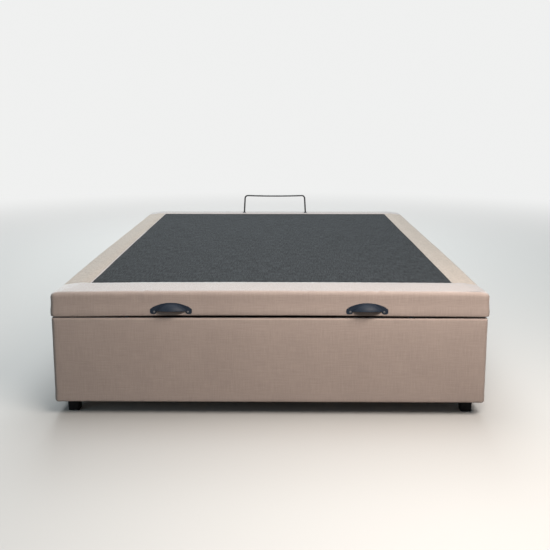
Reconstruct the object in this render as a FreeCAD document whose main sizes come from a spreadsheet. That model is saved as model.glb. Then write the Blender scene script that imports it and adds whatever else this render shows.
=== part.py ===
"""Storage bed base: an upholstered box whose lid lifts at the foot end on two gas struts.

Millimetres, +Z up, +X across the bed, +Y towards the head. The origin lies on the floor
under the middle of the whole object.
"""
import FreeCAD, Part
import math
import os
import Sketcher
from types import SimpleNamespace

SIZES = {
    # Outline of the bed
    "bed_width": 1380,
    "bed_length": 1880,
    "leg_height": 50,
    "box_height": 279,
    "lid_gap": 8,
    "lid_height": 78,
    # Upholstery
    "cover_thick": 3,
    "hem_thick": 1.5,
    "hem_depth": 40,
    "lid_edge_radius": 12,
    "corner_extra": 2,
    "joint_edge_radius": 5,
    "panel_side_margin": 92,
    "panel_foot_margin": 138,
    "panel_head_margin": 86,
    "foam_thick": 12,
    # Timber
    "board_thick": 18,
    "post_width": 40,
    "post_clearance": 2,
    "batten_width": 70,
    "batten_thick": 22,
    "floor_thick": 6,
    "floor_joint": 1,
    "deck_thick": 6,
    "slat_width": 60,
    "slat_thick": 20,
    # Legs and their bolts
    "leg_top": 40,
    "leg_bottom": 36,
    "leg_edge_radius": 6,
    "leg_side_inset": 46,
    "leg_end_inset": 70,
    "leg_socket_depth": 24,
    "socket_clearance": 1.5,
    "bolt_radius": 4,
    "bolt_tip_gap": 4,
    "bolt_head_radius": 6.5,
    "bolt_head_height": 8,
    "tee_wall": 1,
    "tee_barrel_length": 9,
    "tee_flange_radius": 11,
    "tee_flange_thick": 1.5,
    "thread_clearance": 0.05,
    "hole_clearance": 0.2,
    # Screws
    "screw_radius": 2,
    "screw_length": 16,
    "screw_head_radius": 4,
    "screw_head_height": 2.2,
    "pull_screw_radius": 1.75,
    "pull_screw_length": 20,
    "pull_screw_head_radius": 3.5,
    "pull_screw_head_height": 2,
    # Butt hinges along the head edge
    "hinge_spread": 450,
    "hinge_width": 80,
    "leaf_height": 38,
    "leaf_thick": 2.5,
    "leaf_screw_drop": 24,
    "leaf_screw_spacing": 28,
    "knuckle_radius": 5,
    "knuckle_clearance": 0.4,
    "hinge_pin_radius": 2.5,
    # Rubber bumpers on the box's rim
    "bumper_radius": 7,
    "bumper_slope": 1.5,
    "bumper_play": 0.2,
    "bumper_spread": 450,
    # Gas struts: both ends lie at the same distance from the hinge axis
    "bracket_post_gap": 48,
    "bracket_floor_gap": 10,
    "lid_opening": 45,
    "tube_radius": 11,
    "tube_wall": 1.5,
    "tube_end_wall": 4,
    "tube_start": 14,
    "tube_lip": 1.5,
    "neck_radius": 4.5,
    "rod_radius": 5,
    "spigot_clearance": 0.1,
    "piston_play": 0.3,
    "gland_length": 14,
    "piston_length": 10,
    "stroke_spare": 6,
    "closing_spare": 8,
    "eye_radius": 10,
    "eye_shoulder": 1,
    "bracket_length": 90,
    "bracket_rail_margin": 5.75,
    "bracket_thick": 3,
    "bracket_corner": 10,
    "bracket_screw_edge": 10,
    "stud_radius": 4,
    "stud_clearance": 0.08,
    "collar_radius": 7,
    "collar_length": 9,
    "eye_play": 0.5,
    "stud_head_thick": 2.5,
    # Cup pulls on the lid's foot face
    "handle_spread": 308,
    "handle_rise": 13.5,
    "handle_depth": 25,
    "cup_half_width": 49,
    "cup_rise": 26,
    "plate_above_cup": 2.5,
    "handle_wall": 2.2,
    "handle_flange_thick": 3,
    "ear_inside": 7.5,
    "ear_outside": 13,
    "ear_drop": 7.5,
    "ear_shoulder": 10,
    "ear_corner": 6,
    "ear_overlap": 3.5,
    # Mattress retainer at the head edge
    "retainer_inset": 50,
    "retainer_half_span": 167.5,
    "retainer_lean": 5,
    "retainer_height": 100,
    "retainer_sag": 5,
    "retainer_rod_radius": 4,
    "retainer_bend": 16,
    "retainer_knee": 60,
    "grommet_radius": 9,
    "grommet_height": 4,
    "nut_radius": 7.5,
    "nut_height": 6.5,
    "thread_end": 6,
}

doc = FreeCAD.newDocument("storage_bed_base")
sheet = doc.addObject("Spreadsheet::Sheet", "sizes")
for row, (alias, number) in enumerate(SIZES.items(), start=1):
    sheet.set(f"A{row}", alias)
    sheet.set(f"B{row}", str(number))
    sheet.setAlias(f"B{row}", alias)
doc.recompute()


class Length:
    """A length held as an expression on the sheet's cells, so that what is worked out stays bound."""

    def __init__(self, text):
        self.text = str(text)

    def __add__(self, other):
        return Length(f"({self.text} + {other})")

    def __radd__(self, other):
        return Length(f"({other} + {self.text})")

    def __sub__(self, other):
        return Length(f"({self.text} - {other})")

    def __rsub__(self, other):
        return Length(f"({other} - {self.text})")

    def __mul__(self, other):
        return Length(f"({self.text} * {other})")

    __rmul__ = __mul__

    def __truediv__(self, other):
        return Length(f"({self.text} / {other})")

    def __neg__(self):
        return Length(f"(0 - {self.text})")

    def __str__(self):
        return self.text

    def __float__(self):
        return float(sheet.evalExpression(self.text))


def sine(angle):
    return Length(f"sin({angle} * 1 deg)")


def cosine(angle):
    return Length(f"cos({angle} * 1 deg)")


def arc_sine(share):
    return Length(f"(asin({share}) / (1 deg))")


def hypotenuse(across, up):
    return Length(f"sqrt({across * across + up * up})")


size = SimpleNamespace(**{alias: Length(f"sizes.{alias}") for alias in SIZES})

DIRECTIONS = {
    "+x": (1, 0, 0),
    "-x": (-1, 0, 0),
    "+y": (0, 1, 0),
    "-y": (0, -1, 0),
    "+z": (0, 0, 1),
    "-z": (0, 0, -1),
}
SIDES = {"left": -1, "right": 1}
parts = []


# Helpers that make bound document objects

def bind(obj, prop, length):
    obj.setExpression(prop, str(length))


def place(obj, at):
    for axis, length in zip("xyz", at):
        bind(obj, f"Placement.Base.{axis}", length)


def keep(obj):
    """Add a finished piece to the pieces that are written out under their labels."""
    parts.append(obj)
    return obj


def block(name, low, high):
    """A board between two opposite corners."""
    obj = doc.addObject("Part::Box", name)
    for prop, start, end in zip(("Length", "Width", "Height"), low, high):
        bind(obj, prop, Length(f"({end}) - ({start})"))
    place(obj, low)
    return obj


def turn_towards(obj, direction):
    rotation = FreeCAD.Rotation(FreeCAD.Vector(0, 0, 1), FreeCAD.Vector(*DIRECTIONS[direction]))
    obj.Placement = FreeCAD.Placement(FreeCAD.Vector(), rotation)


def round_bar(name, start, direction, radius, length):
    obj = doc.addObject("Part::Cylinder", name)
    turn_towards(obj, direction)
    bind(obj, "Radius", radius)
    bind(obj, "Height", length)
    place(obj, start)
    return obj


def taper(name, start, direction, radius, end_radius, length):
    obj = doc.addObject("Part::Cone", name)
    turn_towards(obj, direction)
    bind(obj, "Radius1", radius)
    bind(obj, "Radius2", end_radius)
    bind(obj, "Height", length)
    place(obj, start)
    return obj


def fuse(name, pieces):
    obj = doc.addObject("Part::MultiFuse", name)
    obj.Shapes = pieces
    return obj


def cut(name, base, tools):
    obj = doc.addObject("Part::Cut", name)
    obj.Base = base
    obj.Tool = tools[0] if len(tools) == 1 else fuse(f"{name}_tools", tools)
    return obj


def common(name, base, tool):
    obj = doc.addObject("Part::Common", name)
    obj.Base = base
    obj.Tool = tool
    return obj


def group(name, pieces):
    """Separate solids that share one node."""
    obj = doc.addObject("Part::Compound", name)
    obj.Links = pieces
    return obj


def rounded(name, base, radius, chosen):
    """Round the edges of base whose bounding box passes the chosen test."""
    doc.recompute()
    whole = base.Shape.BoundBox
    obj = doc.addObject("Part::Fillet", name)
    obj.Base = base
    obj.Edges = [
        (index, float(radius), float(radius))
        for index, edge in enumerate(base.Shape.Edges, start=1)
        if chosen(edge.BoundBox, whole)
    ]
    return obj


def upright(edge, whole):
    return edge.ZLength > whole.ZLength / 2


def at_top(edge, whole):
    return edge.ZMin > whole.ZMax - whole.ZLength / 1000


def at_bottom(edge, whole):
    return edge.ZMax < whole.ZMin + whole.ZLength / 1000


def upright_at_foot(edge, whole):
    return upright(edge, whole) and edge.YMax < whole.YMin + whole.YLength / 10


def upright_at_head(edge, whole):
    return upright(edge, whole) and edge.YMin > whole.YMax - whole.YLength / 10


def along_x(edge, whole):
    return edge.XLength > whole.XLength / 2


def mirrored_span(sign, near, far):
    """Low and high X of something that lies between two distances from the middle."""
    return (near, far) if sign > 0 else (-far, -near)


def outline(sketch, corners):
    """A closed outline of straight runs whose corners are bound to the sheet."""
    places = [FreeCAD.Vector(float(across), float(along), 0) for across, along in corners]
    count = len(places)
    for index, start in enumerate(places):
        sketch.addGeometry(Part.LineSegment(start, places[(index + 1) % count]), False)
    for index in range(count):
        sketch.addConstraint(Sketcher.Constraint("Coincident", index, 2, (index + 1) % count, 1))
    for index, (across, along) in enumerate(corners):
        for kind, length in (("DistanceX", across), ("DistanceY", along)):
            number = sketch.addConstraint(Sketcher.Constraint(kind, -1, 1, index, 1, float(length)))
            sketch.setExpression(f"Constraints[{number}]", str(length))


def bow(sketch, radius, drop):
    """An arc over its own chord on the sketch's H axis; the arc's centre lies below that axis by drop."""
    tall, deep = float(radius), float(drop)
    reach = math.sqrt(tall * tall - deep * deep)
    circle = Part.Circle(FreeCAD.Vector(0, -deep, 0), FreeCAD.Vector(0, 0, 1), tall)
    start = math.atan2(deep, reach)
    sketch.addGeometry(Part.ArcOfCircle(circle, start, math.pi - start), False)
    sketch.addGeometry(Part.LineSegment(FreeCAD.Vector(-reach, 0, 0), FreeCAD.Vector(reach, 0, 0)), False)
    sketch.addConstraint(Sketcher.Constraint("Coincident", 0, 2, 1, 1))
    sketch.addConstraint(Sketcher.Constraint("Coincident", 1, 2, 0, 1))
    sketch.addConstraint(Sketcher.Constraint("PointOnObject", 1, 1, -1))
    sketch.addConstraint(Sketcher.Constraint("PointOnObject", 1, 2, -1))
    sketch.addConstraint(Sketcher.Constraint("PointOnObject", 0, 3, -2))
    number = sketch.addConstraint(Sketcher.Constraint("Radius", 0, tall))
    sketch.setExpression(f"Constraints[{number}]", str(radius))
    number = sketch.addConstraint(Sketcher.Constraint("DistanceY", 0, 3, -1, 1, deep))
    sketch.setExpression(f"Constraints[{number}]", str(drop))


def body_with_sketch(name):
    """A body with an empty sketch on its upright XZ plane."""
    body = doc.addObject("PartDesign::Body", name)
    sketch = body.newObject("Sketcher::SketchObject", f"{name}_profile")
    plane = next(item for item in body.Origin.OriginFeatures if item.Role == "XZ_Plane")
    sketch.AttachmentSupport = [(plane, "")]
    sketch.MapMode = "FlatFace"
    return body, sketch


def revolve(body, sketch, axis):
    turn = body.newObject("PartDesign::Revolution", f"{body.Name}_revolve")
    turn.Profile = sketch
    turn.ReferenceAxis = (sketch, [axis])
    turn.Angle = 360


def turned(name, profile):
    """A body turned about its own Z axis from a profile of radius and height pairs."""
    body, sketch = body_with_sketch(name)
    outline(sketch, profile)
    revolve(body, sketch, "V_Axis")
    return body


def spindle(name, centre, radius, drop):
    """A body pointed at both ends, turned about the X direction from a bow."""
    body, sketch = body_with_sketch(name)
    bow(sketch, radius, drop)
    revolve(body, sketch, "H_Axis")
    place(body, centre)
    return body


PAN_HEAD_CROWN = 0.6  # flat top of a pan head, as a share of its radius


def screw(name, seat, direction, radius, length, head_radius, head_height):
    """A pan-head screw: seat is the point under the middle of its head."""
    toward = DIRECTIONS[direction]
    head_top = [at - head_height * step if step else at for at, step in zip(seat, toward)]
    head = taper(f"{name}_head", head_top, direction, head_radius * PAN_HEAD_CROWN, head_radius, head_height)
    shank = round_bar(f"{name}_shank", seat, direction, radius, length)
    return fuse(name, [head, shank])


def drill(name, seat, direction, radius, length):
    """The hole that a screw passes through or bites into, from under its head to past its tip."""
    return round_bar(name, seat, direction, radius + size.thread_clearance, length + size.hole_clearance)


# Levels and faces that several pieces share

half_width = size.bed_width / 2
side_out = half_width - size.cover_thick
side_in = side_out - size.board_thick
shift = (size.handle_depth - 2 * size.knuckle_radius) / 2
foot_face = shift - size.bed_length / 2
head_face = shift + size.bed_length / 2
foot_out = foot_face + size.cover_thick
foot_in = foot_out + size.board_thick
head_out = head_face - size.cover_thick
head_in = head_out - size.board_thick

box_top = size.leg_height + size.box_height
board_low = size.leg_height + size.hem_thick
board_high = box_top - size.cover_thick
batten_top = size.leg_height + size.batten_thick
floor_top = batten_top + size.floor_thick
hem_low = box_top - size.hem_depth

lid_low = box_top + size.lid_gap
lid_top = lid_low + size.lid_height
panel_low = lid_top - size.cover_thick
foam_low = panel_low - size.foam_thick
deck_low = foam_low - size.deck_thick
rail_low = lid_low + size.hem_thick
slat_low = deck_low - size.slat_thick

hinge_y = head_face + size.knuckle_radius
hinge_z = box_top + size.lid_gap / 2
hinge_places = {"left": -size.hinge_spread, "middle": Length(0), "right": size.hinge_spread}

corner_radius = size.lid_edge_radius + size.corner_extra
core_corner = corner_radius - size.cover_thick


# Strut geometry: the lid end and the box end are equally far from the hinge axis,
# so a strut leans by half the angle that the lid opens

bracket_height = deck_low - rail_low - 2 * size.bracket_rail_margin
eye_thick = 2 * (size.rod_radius + size.eye_shoulder)
lid_stud_z = (rail_low + deck_low) / 2
box_stud_y = head_in - size.post_width - size.bracket_post_gap - size.bracket_length / 2
box_stud_z = floor_top + size.bracket_floor_gap + bracket_height / 2
strut_radius = hypotenuse(hinge_y - box_stud_y, hinge_z - box_stud_z)
box_angle = arc_sine((hinge_z - box_stud_z) / strut_radius)
lid_angle = arc_sine((lid_stud_z - hinge_z) / strut_radius)
closed_angle = box_angle + lid_angle
lid_stud = (hinge_y - strut_radius * cosine(lid_angle), lid_stud_z)
box_stud = (box_stud_y, box_stud_z)
strut_lean = closed_angle / 2 - lid_angle
strut_closed = 2 * strut_radius * sine(closed_angle / 2)
strut_open = 2 * strut_radius * sine((closed_angle + size.lid_opening) / 2)
strut_x = side_in - size.bracket_thick - size.collar_length - size.eye_play - eye_thick / 2
tube_end = strut_closed - size.eye_radius - size.closing_spare
tube_bore = size.tube_radius - size.tube_wall
gland_top = tube_end - size.tube_lip
gland_low = gland_top - size.gland_length
rod_length = strut_open - gland_low + size.stroke_spare + size.piston_length


# Holes shared by the pieces that a fastener joins

def leaf_screw_seats(z):
    """Under the head of each screw of a row of hinge leaves, at height z."""
    return [
        (middle + step * size.leaf_screw_spacing, head_face + size.leaf_thick, z)
        for middle in hinge_places.values()
        for step in (-1, 0, 1)
    ]


def bracket_screw_seats(sign, stud):
    """Under the head of each screw of one strut bracket."""
    y, z = stud
    along = size.bracket_length / 2 - size.bracket_screw_edge
    up = bracket_height / 2 - size.bracket_screw_edge
    return [
        (sign * (side_in - size.bracket_thick), y + dy * along, z + dz * up)
        for dy in (-1, 1)
        for dz in (-1, 1)
    ]


def hardware_drills(name, seats, direction):
    return [
        drill(f"{name}_{number}", seat, direction, size.screw_radius, size.screw_length)
        for number, seat in enumerate(seats, start=1)
    ]


def hardware_screws(name, seats, direction):
    return [
        screw(f"{name}_{number}", seat, direction, size.screw_radius, size.screw_length,
              size.screw_head_radius, size.screw_head_height)
        for number, seat in enumerate(seats, start=1)
    ]


OUTWARD = {"left": "-x", "right": "+x"}
box_leaf_seats = leaf_screw_seats(hinge_z - size.leaf_screw_drop)
lid_leaf_seats = leaf_screw_seats(hinge_z + size.leaf_screw_drop)
box_leaf_drills = hardware_drills("box_leaf_drill", box_leaf_seats, "-y")
lid_leaf_drills = hardware_drills("lid_leaf_drill", lid_leaf_seats, "-y")
box_bracket_seats = {side: bracket_screw_seats(sign, box_stud) for side, sign in SIDES.items()}
lid_bracket_seats = {side: bracket_screw_seats(sign, lid_stud) for side, sign in SIDES.items()}
box_bracket_drills = {
    side: hardware_drills(f"box_bracket_drill_{side}", seats, OUTWARD[side])
    for side, seats in box_bracket_seats.items()
}
lid_bracket_drills = {
    side: hardware_drills(f"lid_bracket_drill_{side}", seats, OUTWARD[side])
    for side, seats in lid_bracket_seats.items()
}

rim_z = lid_low + size.handle_rise
pull_screw_spread = size.cup_half_width + size.ear_inside - size.ear_overlap
pull_screw_seats = {
    side: [
        (sign * size.handle_spread + step * pull_screw_spread,
         foot_face - size.handle_flange_thick, rim_z)
        for step in (-1, 1)
    ]
    for side, sign in SIDES.items()
}
pull_drills = {
    side: [
        drill(f"pull_drill_{side}_{number}", seat, "+y", size.pull_screw_radius, size.pull_screw_length)
        for number, seat in enumerate(seats, start=1)
    ]
    for side, seats in pull_screw_seats.items()
}

retainer_y = head_face - size.retainer_inset
retainer_low = slat_low - size.nut_height - size.thread_end
retainer_drills = [
    round_bar(f"retainer_drill_{side}", (sign * size.retainer_half_span, retainer_y, retainer_low), "+z",
              size.retainer_rod_radius + size.hole_clearance, lid_top - retainer_low + size.hole_clearance)
    for side, sign in SIDES.items()
]


# The box

def box_boards():
    for side, sign in SIDES.items():
        near, far = mirrored_span(sign, side_in, side_out)
        blank = block(f"box_side_blank_{side}", (near, foot_in, board_low), (far, head_in, board_high))
        keep(cut(f"box_side_board_{side}", blank, box_bracket_drills[side]))
    foot_blank = block("box_foot_blank", (-side_out, foot_out, board_low), (side_out, foot_in, board_high))
    keep(rounded("box_foot_board", foot_blank, core_corner, upright_at_foot))
    head_blank = block("box_head_blank", (-side_out, head_in, board_low), (side_out, head_out, board_high))
    head_round = rounded("box_head_round", head_blank, core_corner, upright_at_head)
    keep(cut("box_head_board", head_round, box_leaf_drills))


def corner_posts():
    post_top = hem_low - size.post_clearance
    ends = {"foot": (foot_in, foot_in + size.post_width), "head": (head_in - size.post_width, head_in)}
    for end, (start_y, end_y) in ends.items():
        for side, sign in SIDES.items():
            near, far = mirrored_span(sign, side_in - size.post_width, side_in)
            keep(block(f"corner_post_{end}_{side}", (near, start_y, floor_top), (far, end_y, post_top)))


tee_barrel_radius = size.bolt_radius + size.tee_wall
leg_side = half_width - size.leg_side_inset
leg_foot_y = foot_face + size.leg_end_inset
leg_head_y = head_face - size.leg_end_inset
leg_places = {
    "foot_left": (-leg_side, leg_foot_y),
    "foot_right": (leg_side, leg_foot_y),
    "middle_left": (-leg_side, shift),
    "middle_centre": (Length(0), shift),
    "middle_right": (leg_side, shift),
    "head_left": (-leg_side, leg_head_y),
    "head_right": (leg_side, leg_head_y),
}


def tee_nut_seat(name, x, y):
    """The stepped hole that a leg's bolt and tee nut leave in the batten above the leg."""
    flange_low = batten_top - size.tee_flange_thick - size.hole_clearance
    barrel_low = flange_low - size.tee_barrel_length - size.hole_clearance
    bolt_hole = round_bar(f"{name}_bolt_hole", (x, y, size.leg_height), "+z",
                          size.bolt_radius + size.hole_clearance, size.batten_thick)
    barrel_hole = round_bar(f"{name}_barrel_hole", (x, y, barrel_low), "+z",
                            tee_barrel_radius + size.hole_clearance, batten_top - barrel_low)
    recess = round_bar(f"{name}_recess", (x, y, flange_low), "+z",
                       size.tee_flange_radius + size.hole_clearance, batten_top - flange_low)
    return fuse(f"{name}_seat", [bolt_hole, barrel_hole, recess])


def floor_of_box():
    stations = {
        "foot": leg_foot_y,
        "foot_quarter": (leg_foot_y + shift) / 2,
        "middle": shift,
        "head_quarter": (leg_head_y + shift) / 2,
        "head": leg_head_y,
    }
    for station, y in stations.items():
        name = f"floor_batten_{station}"
        low = (-side_in, y - size.batten_width / 2, size.leg_height)
        high = (side_in, y + size.batten_width / 2, batten_top)
        seats = [
            tee_nut_seat(f"leg_{leg}", x, leg_y)
            for leg, (x, leg_y) in leg_places.items()
            if leg.rsplit("_", 1)[0] == station
        ]
        if seats:
            keep(cut(name, block(f"{name}_blank", low, high), seats))
        else:
            keep(block(name, low, high))
    half_joint = size.floor_joint / 2
    keep(block("floor_panel_foot", (-side_in, foot_in, batten_top),
               (side_in, shift - half_joint, floor_top)))
    keep(block("floor_panel_head", (-side_in, shift + half_joint, batten_top),
               (side_in, head_in, floor_top)))


def box_cover():
    """Fabric round the four boards, turned in over their top edges and under their bottom edges."""
    block_out = block("box_cover_block", (-half_width, foot_face, size.leg_height),
                      (half_width, head_face, box_top))
    corners = rounded("box_cover_corners", block_out, corner_radius, upright)
    top_edge = rounded("box_cover_top_edge", corners, size.joint_edge_radius, at_top)
    skin = rounded("box_cover_skin", top_edge, size.joint_edge_radius, at_bottom)
    below_hem = block("box_below_hem_block", (-side_out, foot_out, board_low), (side_out, head_out, hem_low))
    below_hem = rounded("box_below_hem", below_hem, core_corner, upright)
    boards_block = block("box_boards_block", (-side_out, foot_out, hem_low),
                         (side_out, head_out, board_high))
    boards_round = rounded("box_boards_round", boards_block, core_corner, upright)
    inside = block("box_boards_inside", (-side_in, foot_in, hem_low), (side_in, head_in, board_high))
    boards = cut("box_boards_ring", boards_round, [inside])
    mouth = block("box_mouth",
                  (size.hem_thick - side_in, foot_in + size.hem_thick, hem_low),
                  (side_in - size.hem_thick, head_in - size.hem_thick, box_top))
    underside = block("box_underside", (-side_in, foot_in, size.leg_height), (side_in, head_in, board_low))
    keep(cut("box_cover", skin, [below_hem, boards, mouth, underside] + box_leaf_drills))


def bumpers():
    """Rubber buttons on the rim of the box, which the lid comes down on."""
    side_x = (side_in - size.hem_thick + half_width - size.joint_edge_radius) / 2
    foot_y = (foot_in + size.hem_thick + foot_face + size.joint_edge_radius) / 2
    buttons = []
    for side, sign in SIDES.items():
        places = {
            "foot": (sign * size.bumper_spread, foot_y),
            "quarter": (sign * side_x, (leg_foot_y + shift) / 2),
            "middle": (sign * side_x, shift),
        }
        for place_name, (x, y) in places.items():
            buttons.append(taper(f"bumper_{place_name}_{side}", (x, y, box_top), "+z", size.bumper_radius,
                                 size.bumper_radius - size.bumper_slope, size.lid_gap - size.bumper_play))
    keep(group("box_bumpers", buttons))


# Legs, their bolts and tee nuts

def leg(name, x, y):
    """A tapered square plastic leg with a socket for its bolt's head."""
    blank = doc.addObject("Part::Wedge", f"{name}_taper")
    blank.Placement = FreeCAD.Placement(FreeCAD.Vector(), FreeCAD.Rotation(FreeCAD.Vector(1, 0, 0), 90))
    for mark, width in (("", size.leg_bottom), ("2", size.leg_top)):
        for axis in "XZ":
            bind(blank, f"{axis}{mark}min", -width / 2)
            bind(blank, f"{axis}{mark}max", width / 2)
    bind(blank, "Ymin", Length(0))
    bind(blank, "Ymax", size.leg_height)
    place(blank, (x, y, Length(0)))
    soft = rounded(f"{name}_soft", blank, size.leg_edge_radius, upright)
    socket = round_bar(f"{name}_socket", (x, y, Length(0)), "+z",
                       size.bolt_head_radius + size.socket_clearance, size.leg_socket_depth)
    shank_hole = round_bar(f"{name}_shank_hole", (x, y, Length(0)), "+z",
                           size.bolt_radius + size.hole_clearance, size.leg_height)
    return cut(name, soft, [socket, shank_hole])


def legs():
    bolts = []
    nuts = []
    flange_low = batten_top - size.tee_flange_thick
    head_low = size.leg_socket_depth - size.bolt_head_height
    bolt_length = batten_top - size.bolt_tip_gap - size.leg_socket_depth
    for place_name, (x, y) in leg_places.items():
        keep(leg(f"leg_{place_name}", x, y))
        head = round_bar(f"bolt_head_{place_name}", (x, y, head_low), "+z",
                         size.bolt_head_radius, size.bolt_head_height)
        shank = round_bar(f"bolt_shank_{place_name}", (x, y, size.leg_socket_depth), "+z",
                          size.bolt_radius, bolt_length)
        bolts.append(fuse(f"bolt_{place_name}", [head, shank]))
        barrel = round_bar(f"tee_barrel_{place_name}", (x, y, flange_low - size.tee_barrel_length), "+z",
                           tee_barrel_radius, size.tee_barrel_length)
        flange = round_bar(f"tee_flange_{place_name}", (x, y, flange_low), "+z",
                           size.tee_flange_radius, size.tee_flange_thick)
        bore = round_bar(f"tee_bore_{place_name}", (x, y, flange_low - size.tee_barrel_length), "+z",
                         size.bolt_radius + size.thread_clearance,
                         size.tee_barrel_length + size.tee_flange_thick)
        nut = fuse(f"tee_body_{place_name}", [barrel, flange])
        nuts.append(cut(f"tee_nut_{place_name}", nut, [bore]))
    keep(group("leg_bolts", bolts))
    keep(group("leg_tee_nuts", nuts))


# The lid

def lid_rails():
    for side, sign in SIDES.items():
        near, far = mirrored_span(sign, side_in, side_out)
        blank = block(f"lid_side_blank_{side}", (near, foot_in, rail_low), (far, head_in, deck_low))
        keep(cut(f"lid_rail_{side}", blank, lid_bracket_drills[side]))
    foot_blank = block("lid_foot_blank", (-side_out, foot_out, rail_low), (side_out, foot_in, deck_low))
    foot_round = rounded("lid_foot_round", foot_blank, core_corner, upright_at_foot)
    keep(cut("lid_rail_foot", foot_round, pull_drills["left"] + pull_drills["right"]))
    head_blank = block("lid_head_blank", (-side_out, head_in, rail_low), (side_out, head_out, deck_low))
    head_round = rounded("lid_head_round", head_blank, core_corner, upright_at_head)
    keep(cut("lid_rail_head", head_round, lid_leaf_drills))


SLAT_COUNT = 4


def lid_slats():
    batten_foot = head_in - size.slat_width
    batten_blank = block("retainer_batten_blank", (-side_in, batten_foot, slat_low),
                         (side_in, head_in, deck_low))
    keep(cut("retainer_batten", batten_blank, retainer_drills))
    for number in range(1, SLAT_COUNT + 1):
        middle = foot_in + (batten_foot - foot_in) * number / (SLAT_COUNT + 1)
        keep(block(f"lid_slat_{number}", (-side_in, middle - size.slat_width / 2, slat_low),
                   (side_in, middle + size.slat_width / 2, deck_low)))


def lid_deck_and_foam():
    deck_block = block("lid_deck_block", (-side_out, foot_out, deck_low), (side_out, head_out, foam_low))
    deck_round = rounded("lid_deck_round", deck_block, core_corner, upright)
    keep(cut("lid_deck", deck_round, retainer_drills))
    foam_block = block("lid_foam_block", (-side_out, foot_out, foam_low), (side_out, head_out, panel_low))
    foam_round = rounded("lid_foam_round", foam_block, core_corner, upright)
    foam_soft = rounded("lid_foam_soft", foam_round, size.lid_edge_radius - size.cover_thick, at_top)
    keep(cut("lid_foam", foam_soft, retainer_drills))


def lid_cover():
    """Fabric border and sides of the lid, turned in under the rails, with a window for the panel."""
    block_out = block("lid_cover_block", (-half_width, foot_face, lid_low), (half_width, head_face, lid_top))
    corners = rounded("lid_cover_corners", block_out, corner_radius, upright)
    top_edge = rounded("lid_cover_top_edge", corners, size.lid_edge_radius, at_top)
    skin = rounded("lid_cover_skin", top_edge, size.joint_edge_radius, at_bottom)
    core_block = block("lid_core_block", (-side_out, foot_out, rail_low), (side_out, head_out, panel_low))
    core_round = rounded("lid_core_round", core_block, core_corner, upright)
    core = rounded("lid_core", core_round, size.lid_edge_radius - size.cover_thick, at_top)
    underside = block("lid_underside", (-side_in, foot_in, lid_low), (side_in, head_in, rail_low))
    panel_low_corner, panel_high_corner = panel_corners()
    window = block("lid_window", panel_low_corner, panel_high_corner)
    holes = pull_drills["left"] + pull_drills["right"] + lid_leaf_drills + retainer_drills
    keep(cut("lid_cover", skin, [core, underside, window] + holes))


def panel_corners():
    low = (size.panel_side_margin - half_width, foot_face + size.panel_foot_margin, panel_low)
    high = (half_width - size.panel_side_margin, head_face - size.panel_head_margin, lid_top)
    return low, high


def anti_slip_panel():
    low, high = panel_corners()
    keep(block("anti_slip_panel", low, high))


# Cup pulls

def plate_corner(edge, whole):
    """An edge through the plate's thickness, at either end of the plate or at its lowest line."""
    at_end = min(edge.XMin - whole.XMin, whole.XMax - edge.XMax) < whole.XLength / 1000
    return edge.YLength > whole.YLength / 2 and (at_end or at_bottom(edge, whole))


def cup_pull(side, sign):
    """A hollow half-moon cup on a plate with an arched top and a screw ear at each end."""
    name = f"handle_{side}"
    x = sign * size.handle_spread
    arch = size.cup_rise + size.plate_above_cup
    plate_end = pull_screw_spread + size.ear_outside
    fall = arch - size.ear_shoulder
    plate_radius = (plate_end * plate_end + fall * fall) / (2 * fall)
    plate_front = foot_face - size.handle_flange_thick
    disc = round_bar(f"{name}_disc", (x, foot_face, rim_z + arch - plate_radius), "-y",
                     plate_radius, size.handle_flange_thick)
    band = block(f"{name}_band", (x - plate_end, plate_front, rim_z - size.ear_drop),
                 (x + plate_end, foot_face, rim_z + 2 * arch))
    ear_start = pull_screw_spread - size.ear_inside
    mouth = block(f"{name}_mouth", (x - ear_start, plate_front, rim_z - size.ear_drop),
                  (x + ear_start, foot_face, rim_z))
    blank = cut(f"{name}_blank", common(f"{name}_arch", disc, band), [mouth])
    plate = rounded(f"{name}_plate", blank, size.ear_corner, plate_corner)

    # The cup's axis lies behind the lid's face, at the height of the rim
    depth = size.handle_depth
    behind = (size.cup_rise * size.cup_rise - depth * depth) / (2 * depth)
    bow_radius = (size.cup_half_width * size.cup_half_width + depth * depth) / (2 * depth)
    drop = bow_radius - depth - behind
    axis_point = (x, foot_face + behind, rim_z)
    swell = spindle(f"{name}_swell", axis_point, bow_radius, drop)
    hollow = spindle(f"{name}_hollow", axis_point, bow_radius - size.handle_wall, drop)

    front = block(f"{name}_front", (x - plate_end, foot_face - 2 * depth, rim_z),
                  (x + plate_end, foot_face, rim_z + 2 * arch))
    cup = common(f"{name}_cup", swell, front)
    keep(cut(name, fuse(f"{name}_body", [plate, cup]), [hollow] + pull_drills[side]))


def cup_pulls():
    screws = []
    for side, sign in SIDES.items():
        cup_pull(side, sign)
        for number, seat in enumerate(pull_screw_seats[side], start=1):
            screws.append(screw(f"pull_screw_{side}_{number}", seat, "+y",
                                size.pull_screw_radius, size.pull_screw_length,
                                size.pull_screw_head_radius, size.pull_screw_head_height))
    keep(group("handle_screws", screws))


# Mattress retainer

def bent_path(points, radii):
    """A wire of straight runs through points, with a tangent arc of its own radius at each bend."""
    edges = []
    start = points[0]
    for before, corner, after, radius in zip(points, points[1:], points[2:], radii):
        to_before = (before - corner).normalize()
        to_after = (after - corner).normalize()
        bisector = (to_before + to_after).normalize()
        half_angle = to_before.getAngle(to_after) / 2
        centre = corner + bisector * (radius / math.sin(half_angle))
        enter = corner + to_before * (radius / math.tan(half_angle))
        leave = corner + to_after * (radius / math.tan(half_angle))
        edges.append(Part.LineSegment(start, enter).toShape())
        edges.append(Part.Arc(enter, centre - bisector * radius, leave).toShape())
        start = leave
    edges.append(Part.LineSegment(start, points[-1]).toShape())
    return Part.Wire(edges)


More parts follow.
